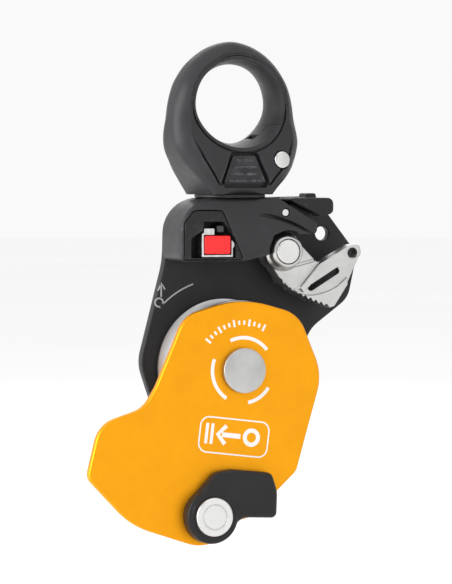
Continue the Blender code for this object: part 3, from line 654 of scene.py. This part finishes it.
def make_swivel():
    """The eye with its recess and ribs, the gate rivet and the gate."""
    rivet_at = (GATE_AT[0], 0, GATE_AT[1])
    eye = cut(eye_band("forged_swivel_eye"), gate_region("gate_space", 0.0))
    slot = [*arc(*GATE_AT, LUG_R + 0.5, 135, -10), *arc(*GATE_AT, 6.0, -60, -215)]
    seat = [(0, -EYE_THROUGH, 0), (3.4, -EYE_THROUGH, 0), (3.4, -8.5, 0.3), (2.1, -8.5, 0),
            (2.1, 8.5, 0), (3.4, 8.5, 0.3), (3.4, EYE_THROUGH, 0), (0, EYE_THROUGH, 0)]
    corners = ((-5.2, 76.2), (5.2, 76.2), (9.6, 66.0), (8.2, 64.2), (-8.2, 64.2), (-9.6, 66.0))
    recess = fillet([(x, z, 0.9) for x, z in corners])
    land = inset(fillet([(x, z, 1.9) for x, z in corners]), 1.1)
    cut(eye,
        plate("tongue_slot", slot, -TONGUE_HALF - GAP, TONGUE_HALF + GAP, HARD, EYE, steps=1),
        lathe("rivet_seat", seat, EYE, rivet_at, sides=48),
        rod("stem_bore", 4.8, 50, 74, EYE, axis=(0, 0, 1)),
        plate("recess", recess, -EYE_THROUGH, lambda p: 0.35 - eye_depth(p.y), HARD, EYE,
              back_edge=0.3),
        plate("recess_groove", inset(recess, -0.3), -EYE_THROUGH,
              lambda p: 2.4 - eye_depth(p.y), HARD, EYE, [land], steps=1))
    dress(eye, "black_aluminium", "swivel", "swivel_eye")

    mesh_data = bmesh.new()
    for z, half in ((73.6, 3.4), (71.2, 4.6), (68.8, 5.8), (66.4, 6.6)):
        level = -eye_depth(z)
        ribbon(mesh_data, [Vector((-half, z)), Vector((half, z))], 0.9, level + 0.3, level + 1.2)
    dress(into_object("recess_ribs", mesh_data, EYE), "black_aluminium", "swivel")

    rivet = [(0, -11.3, 0), (3.1, -11.3, 0.9), (3.1, -8.8, 0), (GATE_RIVET_R, -8.8, 0),
             (GATE_RIVET_R, 8.8, 0), (3.1, 8.8, 0), (3.1, 11.3, 0.9), (0, 11.3, 0)]
    dress(lathe("domed_gate_rivet", rivet, EYE, rivet_at, sides=64), "pins", "swivel",
          "gate_rivet")

    kept = gate_region("gate_kept", 0.12)
    tongue = [*arc(*GATE_AT, 17.5, 110, 60), *arc(*GATE_AT, 5.2, 50, -215)]
    join(kept, plate("tongue", tongue, -TONGUE_HALF, TONGUE_HALF, HARD, EYE, steps=1))
    gate = combine(eye_band("forged_gate"), "INTERSECT", [kept])
    plunger = (PARTING_OUT.x, 0, PARTING_OUT.y)
    at = (PARTING.x, 0, PARTING.y)
    cut(gate, rod("gate_bore", 2.1, -EYE_THROUGH, EYE_THROUGH, EYE, rivet_at),
        rod("plunger_bore", 1.0 + PLAY, -2, 3.5, EYE, at, plunger))
    dress(gate, "black_aluminium", "gate", "gate")


# -------------------- fixed side plate and screws

LOWER_EYE_Z = -40.0
LOWER_EYE_R = 7.5
LOWER_BOSS_R = 12.2
LOWER_BOSS_FRONT = 3.0
CORD_HOLE = (39.6, 47.4)
CORD_HOLE_R = 2.5
SCREWS = ((-13.5, 52.5), (-14.5, 42.5), (7.5, 54.5))
SCREW_HEAD_R = 3.5
ENGRAVED_LEVEL = (PLATE_INNER - 0.05, PLATE_INNER + 0.1)


def make_fixed_plate():
    """The black plate at the back with its lower eye, and the mark engraved inside it."""
    corners = [(-20.5, 60.0, 12.5), (-21.0, 38.0, 30.0), (-30.5, 2.0, 14.0),
               (-23.0, -20.0, 18.0), (-12.5, -31.0, 10.0), (-13.5, -53.0, 12.4),
               (13.5, -53.0, 12.4), (12.5, -31.0, 10.0), (23.0, -20.0, 18.0),
               (35.0, 13.0, 12.0), (50.0, 24.0, 9.0), (53.5, 40.0, 9.0), (37.0, 60.8, 5.0)]
    holes = [circle(*CORD_HOLE, CORD_HOLE_R), circle(0, 0, AXLE_R + PLAY),
             circle(CAM_AT.x, CAM_AT.z, CAM_PIN_R + PLAY),
             circle(CATCH_AT.x, CATCH_AT.z, CATCH_PIN_R + PLAY, 15)]
    holes += [circle(x, z, SCREW_HEAD_R + PLAY, 10) for x, z in SCREWS]
    slab = plate("stamped_fixed_plate", fillet(corners), PLATE_INNER, FIXED_BACK, 0.7,
                 holes=holes, back_edge=0.55)
    boss = [(LOWER_BOSS_R, PLATE_INNER + 1, 0), (LOWER_BOSS_R, LOWER_BOSS_FRONT, 0.8),
            (LOWER_EYE_R, LOWER_BOSS_FRONT, 0.9), (LOWER_EYE_R, PLATE_INNER + 1, 0)]
    join(slab, lathe("boss", boss, centre=(0, 0, LOWER_EYE_Z), closed=True))
    bore = [(0, 0, 0), (LOWER_EYE_R, 0, 0), (LOWER_EYE_R, FIXED_BACK - 0.9, 1.6),
            (LOWER_EYE_R + 1.6, FIXED_BACK + 0.7, 0), (0, FIXED_BACK + 0.7, 0)]
    cut(slab, lathe("bore", bore, centre=(0, 0, LOWER_EYE_Z)))
    dress(slab, "fixed_plate", "frame", "fixed_side_plate")

    mesh_data = bmesh.new()
    ribbon(mesh_data, arc(0, 0, 31.5, 109, 137), 0.5, *ENGRAVED_LEVEL)
    ribbon(mesh_data, circle(-23.2, 23.4, 1.5, 4.0), 0.55, *ENGRAVED_LEVEL, closed=True)
    arrow = (((-23.6, 27.6), (-22.3, 30.2), (-21.0, 28.0)), ((-22.4, 25.4), (-22.4, 30.0)))
    for points in arrow:
        ribbon(mesh_data, [Vector(p) for p in points], 0.55, *ENGRAVED_LEVEL)
    dress(into_object("engraved_path_mark", mesh_data, BASE), "engraving", "frame")


def make_screws():
    """The three screws in the back."""
    for number, (x, z) in enumerate(SCREWS, 1):
        shape = [(0, 3.0, 0), (1.7, 3.0, 0.3), (1.7, 11.0, 0), (SCREW_HEAD_R, 12.3, 0.1),
                 (3.3, 12.6, 0.1), (0, 12.6, 0)]
        screw = lathe(f"socket_screw_{number}", shape, centre=(x, 0, z), sides=60)
        cut(screw, rod("socket", 1.45, 11.3, 14, centre=(x, 0, z), sides=6))
        dress(screw, "pins", "frame", f"back_screw_{number}")


# -------------------- head and latch

HEAD_FRONT = -PLATE_INNER + GAP
HEAD_TOP = 60.5
PANEL_DEPTH = 3.2
PANEL = [(-20.5, 38.9, 0.8), (-20.5, 51.5, 3.5), (-17.0, 56.0, 3.0), (-6.4, 56.0, 1.5),
         (1.6, 38.9, 0.8)]
POCKET = [(-20.75, 38.65, 0.8), (-20.75, 51.6, 3.6), (-17.1, 56.25, 3.1), (-6.2, 56.25, 1.6),
          (1.95, 38.65, 0.8)]  # the panel's seat in the head
WINDOW = [(-18.2, 39.4, 0.5), (-18.2, 46.4, 0.8), (-13.6, 49.0, 0.8), (-13.6, 52.2, 0.5),
          (-6.0, 52.2, 0.5), (-1.3, 46.4, 0.6), (-1.3, 39.4, 0.5)]
SHOULDER_R = 54.8  # round the axle: the step in the head that the release lever passes


def make_head():
    """The head block, the washer on it and the panel round the latch."""
    outline = fillet([(-22.0, 38.2, 3.0), (-22.0, HEAD_TOP, 13.0), (15.0, HEAD_TOP, 2.0),
                      (30.5, 51.8, 2.0), (30.5, 47.4, 1.9), (13.6, 47.4, 1.0), (13.6, 40.6, 3.0),
                      (3.0, 38.2, 4.0)])
    head = plate("forged_head_block", outline, HEAD_FRONT, -HEAD_FRONT, 1.5, steps=4,
                 back_edge=0.6)
    shoulder = [*arc(0, 0, SHOULDER_R, 84, 48), Vector((45, 42)), Vector((45, 70)),
                Vector((8.5, 70))]
    groove = [*arc(0, 0, SHOULDER_R + 1.1, 83, 46), *arc(0, 0, SHOULDER_R - 0.2, 46, 83)]

    def ramp(deepest, slope):
        """A floor that falls away to the right, down to its deepest level."""
        start_x, least = 6.5, 0.05
        return lambda p: HEAD_FRONT + min(deepest, max(least, (p.x - start_x) * slope))

    catch_slot = fillet([(14.6, 46.0, 0), (14.6, 58.5, 3.0), (16.6, 63.0, 0), (40.0, 63.0, 0),
                         (40.0, 46.0, 0)])
    window = fillet(WINDOW)
    cut(head,
        plate("shoulder_step", shoulder, -THROUGH, ramp(1.5, 0.12), HARD, steps=1),
        plate("shoulder_groove", groove, -THROUGH, ramp(3.4, 0.3), HARD, steps=1),
        plate("panel_pocket", fillet(POCKET), -THROUGH, HEAD_FRONT + PANEL_DEPTH, HARD, steps=1),
        plate("latch_pocket", window, -THROUGH, -1.6, HARD, steps=1),
        plate("catch_slot", catch_slot, -3.2, 3.2, HARD, steps=1),
        rod("cam_room", 7.6, -THROUGH, THROUGH, centre=CAM_AXIS, sides=96),
        rod("catch_bore", CATCH_PIN_R + PLAY, -THROUGH, THROUGH, centre=CATCH_AXIS),
        rod("stem_passage", 4.9, 30, 70, axis=(0, 0, 1)),
        rod("nut_chamber", 6.9, 30, 58.0, axis=(0, 0, 1)))
    melt(head, 0.26, 3)
    dress(head, "black_aluminium", "frame", "head_block", shade=SOFT_SHARP_DEG)
    low, high = HEAD_TOP + 0.03, EYE_FOOT - 0.03
    washer = [(5.0, low, 0), (12.5, low, 0.3), (12.5, high, 0.3), (5.0, high, 0)]
    dress(lathe("thrust_ring", washer, axis=(0, 0, 1), closed=True), "black_nylon", "frame",
          "thrust_washer")

    panel = plate("moulded_latch_panel", fillet(PANEL), HEAD_FRONT,
                  HEAD_FRONT + PANEL_DEPTH - GAP, 0.4)
    cut(panel, plate("window_cut", window, -THROUGH, 0, HARD, steps=1))
    dress(panel, "black_nylon", "frame", "latch_panel")


def make_latch():
    """The red flag, the bolt and the bent keeper round the flag."""
    block = fillet([(-12.85, 40.8, 0.7), (-12.85, 47.2, 0.7), (-3.15, 47.2, 0.7),
                    (-3.15, 40.8, 0.7)])
    flag = plate("moulded_red_flag", block, HEAD_FRONT + 0.1, HEAD_FRONT + 2.5, 0.55, steps=4)
    dress(flag, "red_plastic", "latch_flag", "latch_flag")
    nose = fillet([(-8.0, 48.4, 0.4), (-8.0, 50.8, 0.4), (-5.4, 50.8, 0.4), (-5.4, 48.4, 0.4)])
    bolt = plate("hardened_latch_bolt", nose, HEAD_FRONT + 1.0, -2.4, 0.3)
    # The bolt's near-black colour is painted shade
    dress(bolt, "dark_steel_painted_shade", "latch_bolt", "latch_bolt")
    keeper = fillet([(-13.95, 39.7, 0.3), (-13.95, 48.0, 0.3), (-13.2, 48.4, 0.1),
                     (-13.2, 49.8, 0.4), (-9.2, 49.8, 0.4), (-9.2, 47.5, 0.2),
                     (-13.15, 47.5, 0.1), (-13.15, 40.5, 0.2), (-2.8, 40.5, 0.2),
                     (-2.8, 45.8, 0.2), (-1.65, 44.6, 0.3), (-1.65, 43.4, 0.3),
                     (-2.2, 42.8, 0.1), (-2.2, 39.7, 0.3)])
    shell = plate("pressed_latch_keeper", keeper, HEAD_FRONT + 0.4, -4.5, 0.18)
    dress(shell, "cast_stainless", "frame", "latch_keeper")


# -------------------- axle and sheave


def make_axle():
    """The axle with its head at the back, and the domed cap on its front end."""
    head_r = 8.2
    shaft = [(0, MOBILE_FRONT - 1.4, 0), (AXLE_R, MOBILE_FRONT - 1.4, 0.3),
             (AXLE_R, FIXED_BACK + GAP, 0), (head_r, FIXED_BACK + GAP, 0.2),
             (head_r, FIXED_BACK + 2.2, 0.9), (5.2, FIXED_BACK + 2.2, 0.15),
             (4.9, FIXED_BACK + 1.9, 0.15), (0, FIXED_BACK + 1.9, 0)]
    dress(lathe("turned_axle", shaft), "stainless", "frame", "axle")
    cap_r, rise, half_angle = 7.9, 1.25, math.radians(18)
    front = MOBILE_FRONT - 3.4
    dome = []
    for degrees in range(2, 18, 2):
        a = math.radians(degrees)
        dome.append((cap_r * math.sin(a) / math.sin(half_angle),
                     front + rise * (1 - math.cos(a)) / (1 - math.cos(half_angle)), 0))
    cap = [(0, front, 0), *dome, (cap_r, front + rise, 0.35),
           (cap_r, MOBILE_FRONT - GAP, 0.2), (AXLE_R + PLAY, MOBILE_FRONT - GAP, 0),
           (AXLE_R + PLAY, MOBILE_FRONT - 1.7, 0), (0, MOBILE_FRONT - 1.7, 0)]
    dress(lathe("domed_axle_cap", cap, sides=128), "stainless", "frame", "axle_cap", shade=50)


def make_sheave():
    """The wheel, with a round groove for the rope."""
    groove_r, groove_round, rim_r, rim_half = 19.0, 6.9, 24.5, 8.0
    top = math.degrees(math.acos((groove_r + groove_round - rim_r) / groove_round))
    groove = arc(groove_r + groove_round, 0, groove_round, 180 - top, 180 + top, 4)
    wheel = [(13.2, -5.0, 0.2), (19.0, -5.0, 0.8), (20.5, -rim_half, 0.5),
             (rim_r, -rim_half, 0.45), *sharp(reversed(groove)), (rim_r, rim_half, 0.45),
             (20.5, rim_half, 0.5), (19.0, 5.0, 0.8), (13.2, 5.0, 0.2)]
    dress(lathe("turned_sheave", wheel, sides=144, closed=True), "sheave_aluminium", "sheave",
          "sheave")


# -------------------- side plate and release lever


def make_side_plate():
    """The orange plate with its marks, and the lever on its rivet."""
    corners = [(0.0, -25.6, 36.0), (21.5, -19.5, 11.0), (32.2, 5.0, 12.0), (36.8, 12.4, 10.0),
               (53.2, 17.6, 11.0), (57.8, 36.2, 4.5), (41.4, 53.3, 30.0), (17.5, 61.3, 14.0),
               (9.0, 60.4, 2.0), (5.0, 53.6, 2.0), (-4.9, 51.4, 1.2), (-4.9, 47.2, 1.2),
               (-9.6, 46.2, 1.2), (-20.6, 36.0, 5.0), (-30.5, 2.0, 18.0), (-21.5, -19.5, 12.0)]
    lever_at = (-LEVER_AT.x, -LEVER_AT.z)
    holes = [circle(0, 0, 6.4 + PLAY), circle(*lever_at, LEVER_RIVET_R + PLAY)]
    slab = plate("orange_side_plate", fillet(corners, 4.0), MOBILE_FRONT, -PLATE_INNER, 0.8,
                 SWING, holes, steps=4, back_edge=0.5)
    dress(slab, "orange_anodised", "side_plate", "mobile_side_plate")
    make_prints()

    where = (lever_at[0], 0, lever_at[1])
    rivet = [(0, -19.0, 0), (4.1, -19.0, 0.12), (4.25, -18.75, 0.1), (4.45, -18.75, 0.1),
             (4.6, -19.05, 0.12), (6.8, -19.05, 0.6), (6.8, -17.6, 0.1),
             (LEVER_RIVET_R, -17.6, 0), (LEVER_RIVET_R, -9.6, 0.3), (0, -9.6, 0)]
    dress(lathe("polished_lever_rivet", rivet, SWING, where), "polished", "side_plate",
          "lever_rivet")

    lever_back = MOBILE_FRONT - GAP
    arm = fillet([*sharp(arc(0, 0, 9.3, 128, -42)), (-1.6, -15.4, 5.0), (-8.0, -16.2, 12.0),
                  (-22.6, -14.6, 2.6), (-24.8, -8.0, 8.0), (-24.5, 1.4, 2.0),
                  (-11.2, 0.8, 5.0)])
    lever = plate("moulded_release_lever", arm, -16.9, lever_back, 1.6, LEVER, steps=5,
                  back_edge=0.3)
    hub = [(0, -17.3, 0), (9.6, -17.3, 1.0), (9.6, lever_back, 0.3), (0, lever_back, 0)]
    hook = fillet([(-24.2, -3.4, 0.4), (-24.2, 0.9, 0.8), (-21.6, 0.6, 0.4), (-21.6, -3.4, 0.4)])
    join(lever, lathe("hub", hub, LEVER), plate("hook", hook, -14.0, -9.6, 0.3, LEVER))
    cut(lever, rod("lever_bore", LEVER_RIVET_R + PLAY, -20, 0, LEVER),
        rod("spring_pocket", 6.2, -15.4, 0, LEVER))
    melt(lever, 0.24, 2)
    dress(lever, "black_nylon", "release_lever", "release_lever", shade=SOFT_SHARP_DEG)


PRINT_LEVEL = (MOBILE_FRONT - 0.04, MOBILE_FRONT + 0.15)
FRAME_AT = Vector((-3.4, -23.3))  # the printed frame, as it stands with the plate open
FRAME_TILT = -7.0  # degrees
ARC_R, ARC_WIDTH = 11.5, 1.25
TICKS, TICK_STEP, TICK_R, TICK_WIDTH = 13, 6.6, 16.8, 0.75


def make_prints():
    """White marks on the side plate: three arcs round the axle, a scale of ticks above them and
    a framed sign of a wheel, a rope's way and bars."""
    mesh_data = bmesh.new()
    for start, end in ((114, 38), (237, 159), (-33, -80)):
        ribbon(mesh_data, arc(0, 0, ARC_R, start, end), ARC_WIDTH, *PRINT_LEVEL)
    for k in range(TICKS):
        a = math.radians(141 - k * TICK_STEP)
        out = Vector((math.cos(a), math.sin(a)))
        reach = 1.25 if k % 3 == 0 else 0.75
        ribbon(mesh_data, [out * (TICK_R - reach), out * (TICK_R + reach)], TICK_WIDTH,
               *PRINT_LEVEL)

    turn = Matrix.Rotation(math.radians(FRAME_TILT), 2)

    def framed(points):
        """Points drawn in the square frame, as they stand on the plate."""
        return [FRAME_AT + turn @ Vector(p) for p in points]

    border = fillet([(-13.0, -6.2, 3.2), (13.0, -6.2, 3.2), (13.0, 6.2, 3.2), (-13.0, 6.2, 3.2)])
    ribbon(mesh_data, framed(border), 0.5, *PRINT_LEVEL, closed=True)
    wheel = circle(6.6, 0.4, 2.5, 12)
    ribbon(mesh_data, framed(wheel), 1.5, *PRINT_LEVEL, closed=True)
    ribbon(mesh_data, framed([(-4.6, 0.4), (2.4, 0.4)]), 1.7, *PRINT_LEVEL)
    ribbon(mesh_data, framed([(-3.2, 3.6), (-6.2, 0.4), (-3.2, -2.8)]), 1.5, *PRINT_LEVEL)
    for x in (-8.4, -10.4):
        ribbon(mesh_data, framed([(x, -3.2), (x, 4.0)]), 1.1, *PRINT_LEVEL)
    dress(into_object("printed_marks", mesh_data, BASE), "print", "side_plate")


# -------------------- cam and catch

CAM_HALF = 4.7
CAM_TEETH = 10
TOOTH_DEPTH = 1.1
TOOTH_CREST = 0.8  # where along each tooth its crest is
FACE_BULGE = 1.1
CAM_PIN_HEAD_R = 4.4


def cam_face():
    """The toothed face: a shallow curve under the pivot, with saw teeth that lean back."""
    first, last = Vector((-0.8, -10.2)), Vector((19.2, -18.8))
    along = (last - first) / CAM_TEETH
    out = Vector((along.y, -along.x)).normalized()
    points = []
    for k in range(CAM_TEETH):
        for share, lift in ((0.0, 0.0), (TOOTH_CREST, TOOTH_DEPTH)):
            t = (k + share) / CAM_TEETH
            bulge = 4 * FACE_BULGE * t * (1 - t)
            points.append(first + along * (k + share) + out * (bulge - TOOTH_DEPTH / 2 + lift))
    return points


def make_cam():
    """The toothed cam with its slotted handle, its pin and its spring."""
    rear = [(20.4, -18.6, 1.0), (25.6, -10.0, 6.0), (29.9, 0.4, 3.0), (28.6, 4.0, 1.6),
            (25.0, 3.4, 2.0), (13.6, -3.6, 1.6)]
    body = fillet([*sharp(arc(0, 0, 6.4, 50, 215)), *sharp(cam_face()), *rear])
    cam = plate("cast_cam", body, -2.9, CAM_HALF, HARD, CAM, steps=1)
    grip = fillet([(6.6, -12.9, 1.4), (13.6, -3.9, 1.6), (25.0, 3.3, 2.0), (28.6, 3.9, 1.6),
                   (29.8, 0.4, 2.6), (26.4, -3.4, 2.0), (20.4, -4.9, 1.4), (9.6, -12.4, 1.0),
                   (8.4, -14.4, 1.0)])
    rim_top = [Vector(p) for p in ((24.9, -8.2), (19.6, -12.6), (11.0, -15.2), (4.0, -13.4),
                                   (-1.0, -9.2))]
    rim = [*cam_face(), Vector((20.4, -18.6)), Vector((25.2, -10.6)), *spline(rim_top, 5)]
    collar = [(0, -8.2, 0), (5.7, -8.2, 1.5), (6.1, -4.6, 0.8), (6.9, -3.6, 0.6), (6.9, 5.2, 0),
              (0, 5.2, 0)]
    join(cam, plate("grip", grip, -CAM_HALF, 3.0, HARD, CAM, steps=1),
         plate("rim", rim, -CAM_HALF + 0.5, 3.0, HARD, CAM, steps=1),
         lathe("collar", collar, CAM))
    slot = fillet([(11.2, -14.0, 1.2), (22.6, -6.4, 1.2), (21.2, -4.3, 1.2), (9.8, -11.9, 1.2)])
    thin = [Vector(p) for p in ((10.0, 8.0), (10.0, -3.0), (22.0, -12.5), (40.0, -12.5),
                                (40.0, 12.0))]
    crease = fillet([(4.6, -4.4, 0.4), (12.2, -2.2, 0.4), (12.6, -3.1, 0.4), (5.0, -5.4, 0.4)])
    cut(cam, plate("grip_slot", slot, -THROUGH, THROUGH, HARD, CAM, steps=1),
        rod("tip_hole", 1.9, -THROUGH, THROUGH, CAM, (26.2, 0, 0.6)),
        rod("cam_bore", CAM_PIN_R + PLAY, -THROUGH, THROUGH, CAM),
        rod("pin_seat", CAM_PIN_HEAD_R + PLAY, -THROUGH, -7.2, CAM),
        plate("grip_relief", thin, 0.6, THROUGH, HARD, CAM, steps=1),
        plate("crease", crease, -THROUGH, -2.2, HARD, CAM, steps=1))
    melt(cam, 0.2, 2)
    dress(cam, "cast_stainless", "cam", "cam", shade=SOFT_SHARP_DEG)

    pin = [(0, -8.3, 0), (CAM_PIN_HEAD_R, -8.3, 0.8), (CAM_PIN_HEAD_R, -7.3, 0.1),
           (CAM_PIN_R, -7.3, 0), (CAM_PIN_R, FIXED_BACK + GAP, 0), (4.6, FIXED_BACK + GAP, 0.1),
           (4.6, FIXED_BACK + 1.2, 0.4), (0, FIXED_BACK + 1.2, 0)]
    dress(lathe("cam_pivot_pin", pin, centre=CAM_AXIS, sides=72), "pins", "frame", "cam_pin")
    dress(coil("wound_cam_spring", 4.3, 0.5, 6.2, 8.3, 1.8, BASE, CAM_AXIS), "spring_steel",
          "frame", "cam_spring", shade=SOFT_SHARP_DEG)


def make_catch():
    """The knob lever that holds the cam open, and its pin."""
    arm = fillet([*sharp(arc(0, 0, 3.5, 60, 290)), (2.0, -4.6, 0.5), (3.4, -2.0, 0.5),
                  (12.0, -1.4, 0), (14.0, 2.0, 0)])
    catch = plate("moulded_catch_lever", arm, -2.7, 2.7, HARD, CATCH, steps=1)
    knob = fillet([(-0.4, 5.2, 0.8), (18.0, 5.2, 2.2), (18.0, -0.4, 2.0), (13.6, -1.4, 0.8)])
    ridge = fillet([(8.9, 4.0, 0.2), (8.9, 6.8, 0.8), (12.7, 6.8, 0.8), (12.7, 4.0, 0.2)])
    join(catch, plate("knob", knob, -8.6, 5.5, 0.6, CATCH),
         plate("ridge", ridge, -5.0, 2.0, 0.3, CATCH))
    cut(catch, rod("catch_hub", CATCH_PIN_R + PLAY, -THROUGH, THROUGH, CATCH))
    melt(catch, 0.22, 2)
    dress(catch, "black_nylon", "catch", "catch_lever", shade=SOFT_SHARP_DEG)
    pin = [(0, -7.2, 0), (CATCH_PIN_R, -7.2, 0.35), (CATCH_PIN_R, FIXED_BACK, 0.35),
           (0, FIXED_BACK, 0)]
    dress(lathe("catch_pivot_pin", pin, centre=CATCH_AXIS, sides=40), "pins", "frame", "catch_pin")


# -------------------- pieces kept from the frame


def finish_frame_pieces():
    """The small inner pieces keep their solids and get their finish."""
    kept = {"stainless": ["bearing_inner_race", "bearing_outer_race", "spacer_front",
                          "spacer_back", "swivel_nut", "swivel_stem"],
            "pins": ["gate_plunger", *[f"ball_{k}" for k in range(1, 10)]],
            "black_nylon": ["bearing_cage", "plate_bush"],
            "seal_rubber": ["seal_front", "seal_back"],
            "spring_steel": ["latch_spring", "lever_spring"]}
    for look, names in kept.items():
        for name in names:
            node = frame["nodes"][name]
            paint(node, look)


# -------------------- floor, light and camera

FLOOR_Z = -75.0
FLOOR_RINGS = (400, 1200, 6000)
FLOOR_TONES = (0.965, 0.985)
WORLD_STRENGTH = 0.95
AIM = Vector((0, 0, 25))  # what the lights look at
# Each soft light's place, its width and height, and its power
SOFTBOXES = {"left_softbox": ((-850, -60, 160), (600, 800), 10.5),
             "top_softbox": ((50, -300, 900), (900, 700), 1.5),
             "front_fill": ((350, -900, 150), (600, 700), 0.5),
             "back_light": ((350, 800, 500), (700, 500), 1.2)}
CAMERA_AZIMUTH = -22.0
CAMERA_ELEVATION = 2.0
CAMERA_DISTANCE = 1300.0
CAMERA_REACH = 20.0  # metres
VIEW_HEIGHT = 206.0


def make_stage():
    """A plain pale floor, far wider than the view."""
    mesh_data = bmesh.new()
    rings = [[mesh_data.verts.new((0, 0, FLOOR_Z))]]
    for radius in FLOOR_RINGS:
        angles = [math.radians(t) for t in range(0, 360, 5)]
        rings.append([
            mesh_data.verts.new((radius * math.cos(a), radius * math.sin(a), FLOOR_Z))
            for a in angles
        ])
    bridge(mesh_data, rings)
    floor = into_object("floor", mesh_data, BASE)
    graph = Graph("pale_floor")
    where = graph.add("TexCoord").outputs["Object"]
    first, second = (rgba((tone,) * 3) for tone in FLOOR_TONES)
    tone = graph.mixed(graph.ranged(graph.noise(where, 3.0), *NOISE_RANGE), first, second)
    graph.feed(graph.shader, "Base Color", tone)
    graph.feed(graph.shader, "Roughness", 0.85)
    floor.data.materials.append(graph.material)


def softbox(name, spot, size, power):
    """A soft area light that looks at the object."""
    data = bpy.data.lights.new(name, "AREA")
    data.shape = "RECTANGLE"
    data.size = size[0] * MM
    data.size_y = size[1] * MM
    data.energy = power
    lamp = bpy.data.objects.new(name, data)
    bpy.context.scene.collection.objects.link(lamp)
    lamp.location = (MIDDLE + Vector(spot)) * MM
    aim = (MIDDLE + AIM) * MM - lamp.location
    lamp.rotation_euler = aim.to_track_quat("-Z", "Y").to_euler()


def make_light():
    """A plain white studio with soft lights."""
    world = bpy.data.worlds.new("studio")
    bpy.context.scene.world = world
    world.use_nodes = True
    sky = world.node_tree.nodes["Background"]
    sky.inputs["Color"].default_value = (1, 1, 1, 1)
    sky.inputs["Strength"].default_value = WORLD_STRENGTH
    for name, (spot, size, power) in SOFTBOXES.items():
        softbox(name, spot, size, power)


def make_camera():
    """The camera, at the angle from which the object is drawn."""
    data = bpy.data.cameras.new("camera")
    data.lens = data.sensor_width * CAMERA_DISTANCE / VIEW_HEIGHT
    data.clip_end = CAMERA_REACH
    camera = bpy.data.objects.new("camera", data)
    bpy.context.scene.collection.objects.link(camera)
    bpy.context.scene.camera = camera
    turn, lift = math.radians(CAMERA_AZIMUTH), math.radians(CAMERA_ELEVATION)
    back = Vector((math.sin(turn) * math.cos(lift), -math.cos(turn) * math.cos(lift),
                   math.sin(lift)))
    low, high = CAD_BOX
    camera.location = (low + high) / 2 + back * CAMERA_DISTANCE * MM
    camera.rotation_euler = (-back).to_track_quat("-Z", "Y").to_euler()
    bpy.context.scene.view_settings.view_transform = "Standard"


make_swivel()
make_fixed_plate()
make_screws()
make_head()
make_latch()
make_axle()
make_sheave()
make_side_plate()
make_cam()
make_catch()
finish_frame_pieces()
make_stage()
make_light()
make_camera()
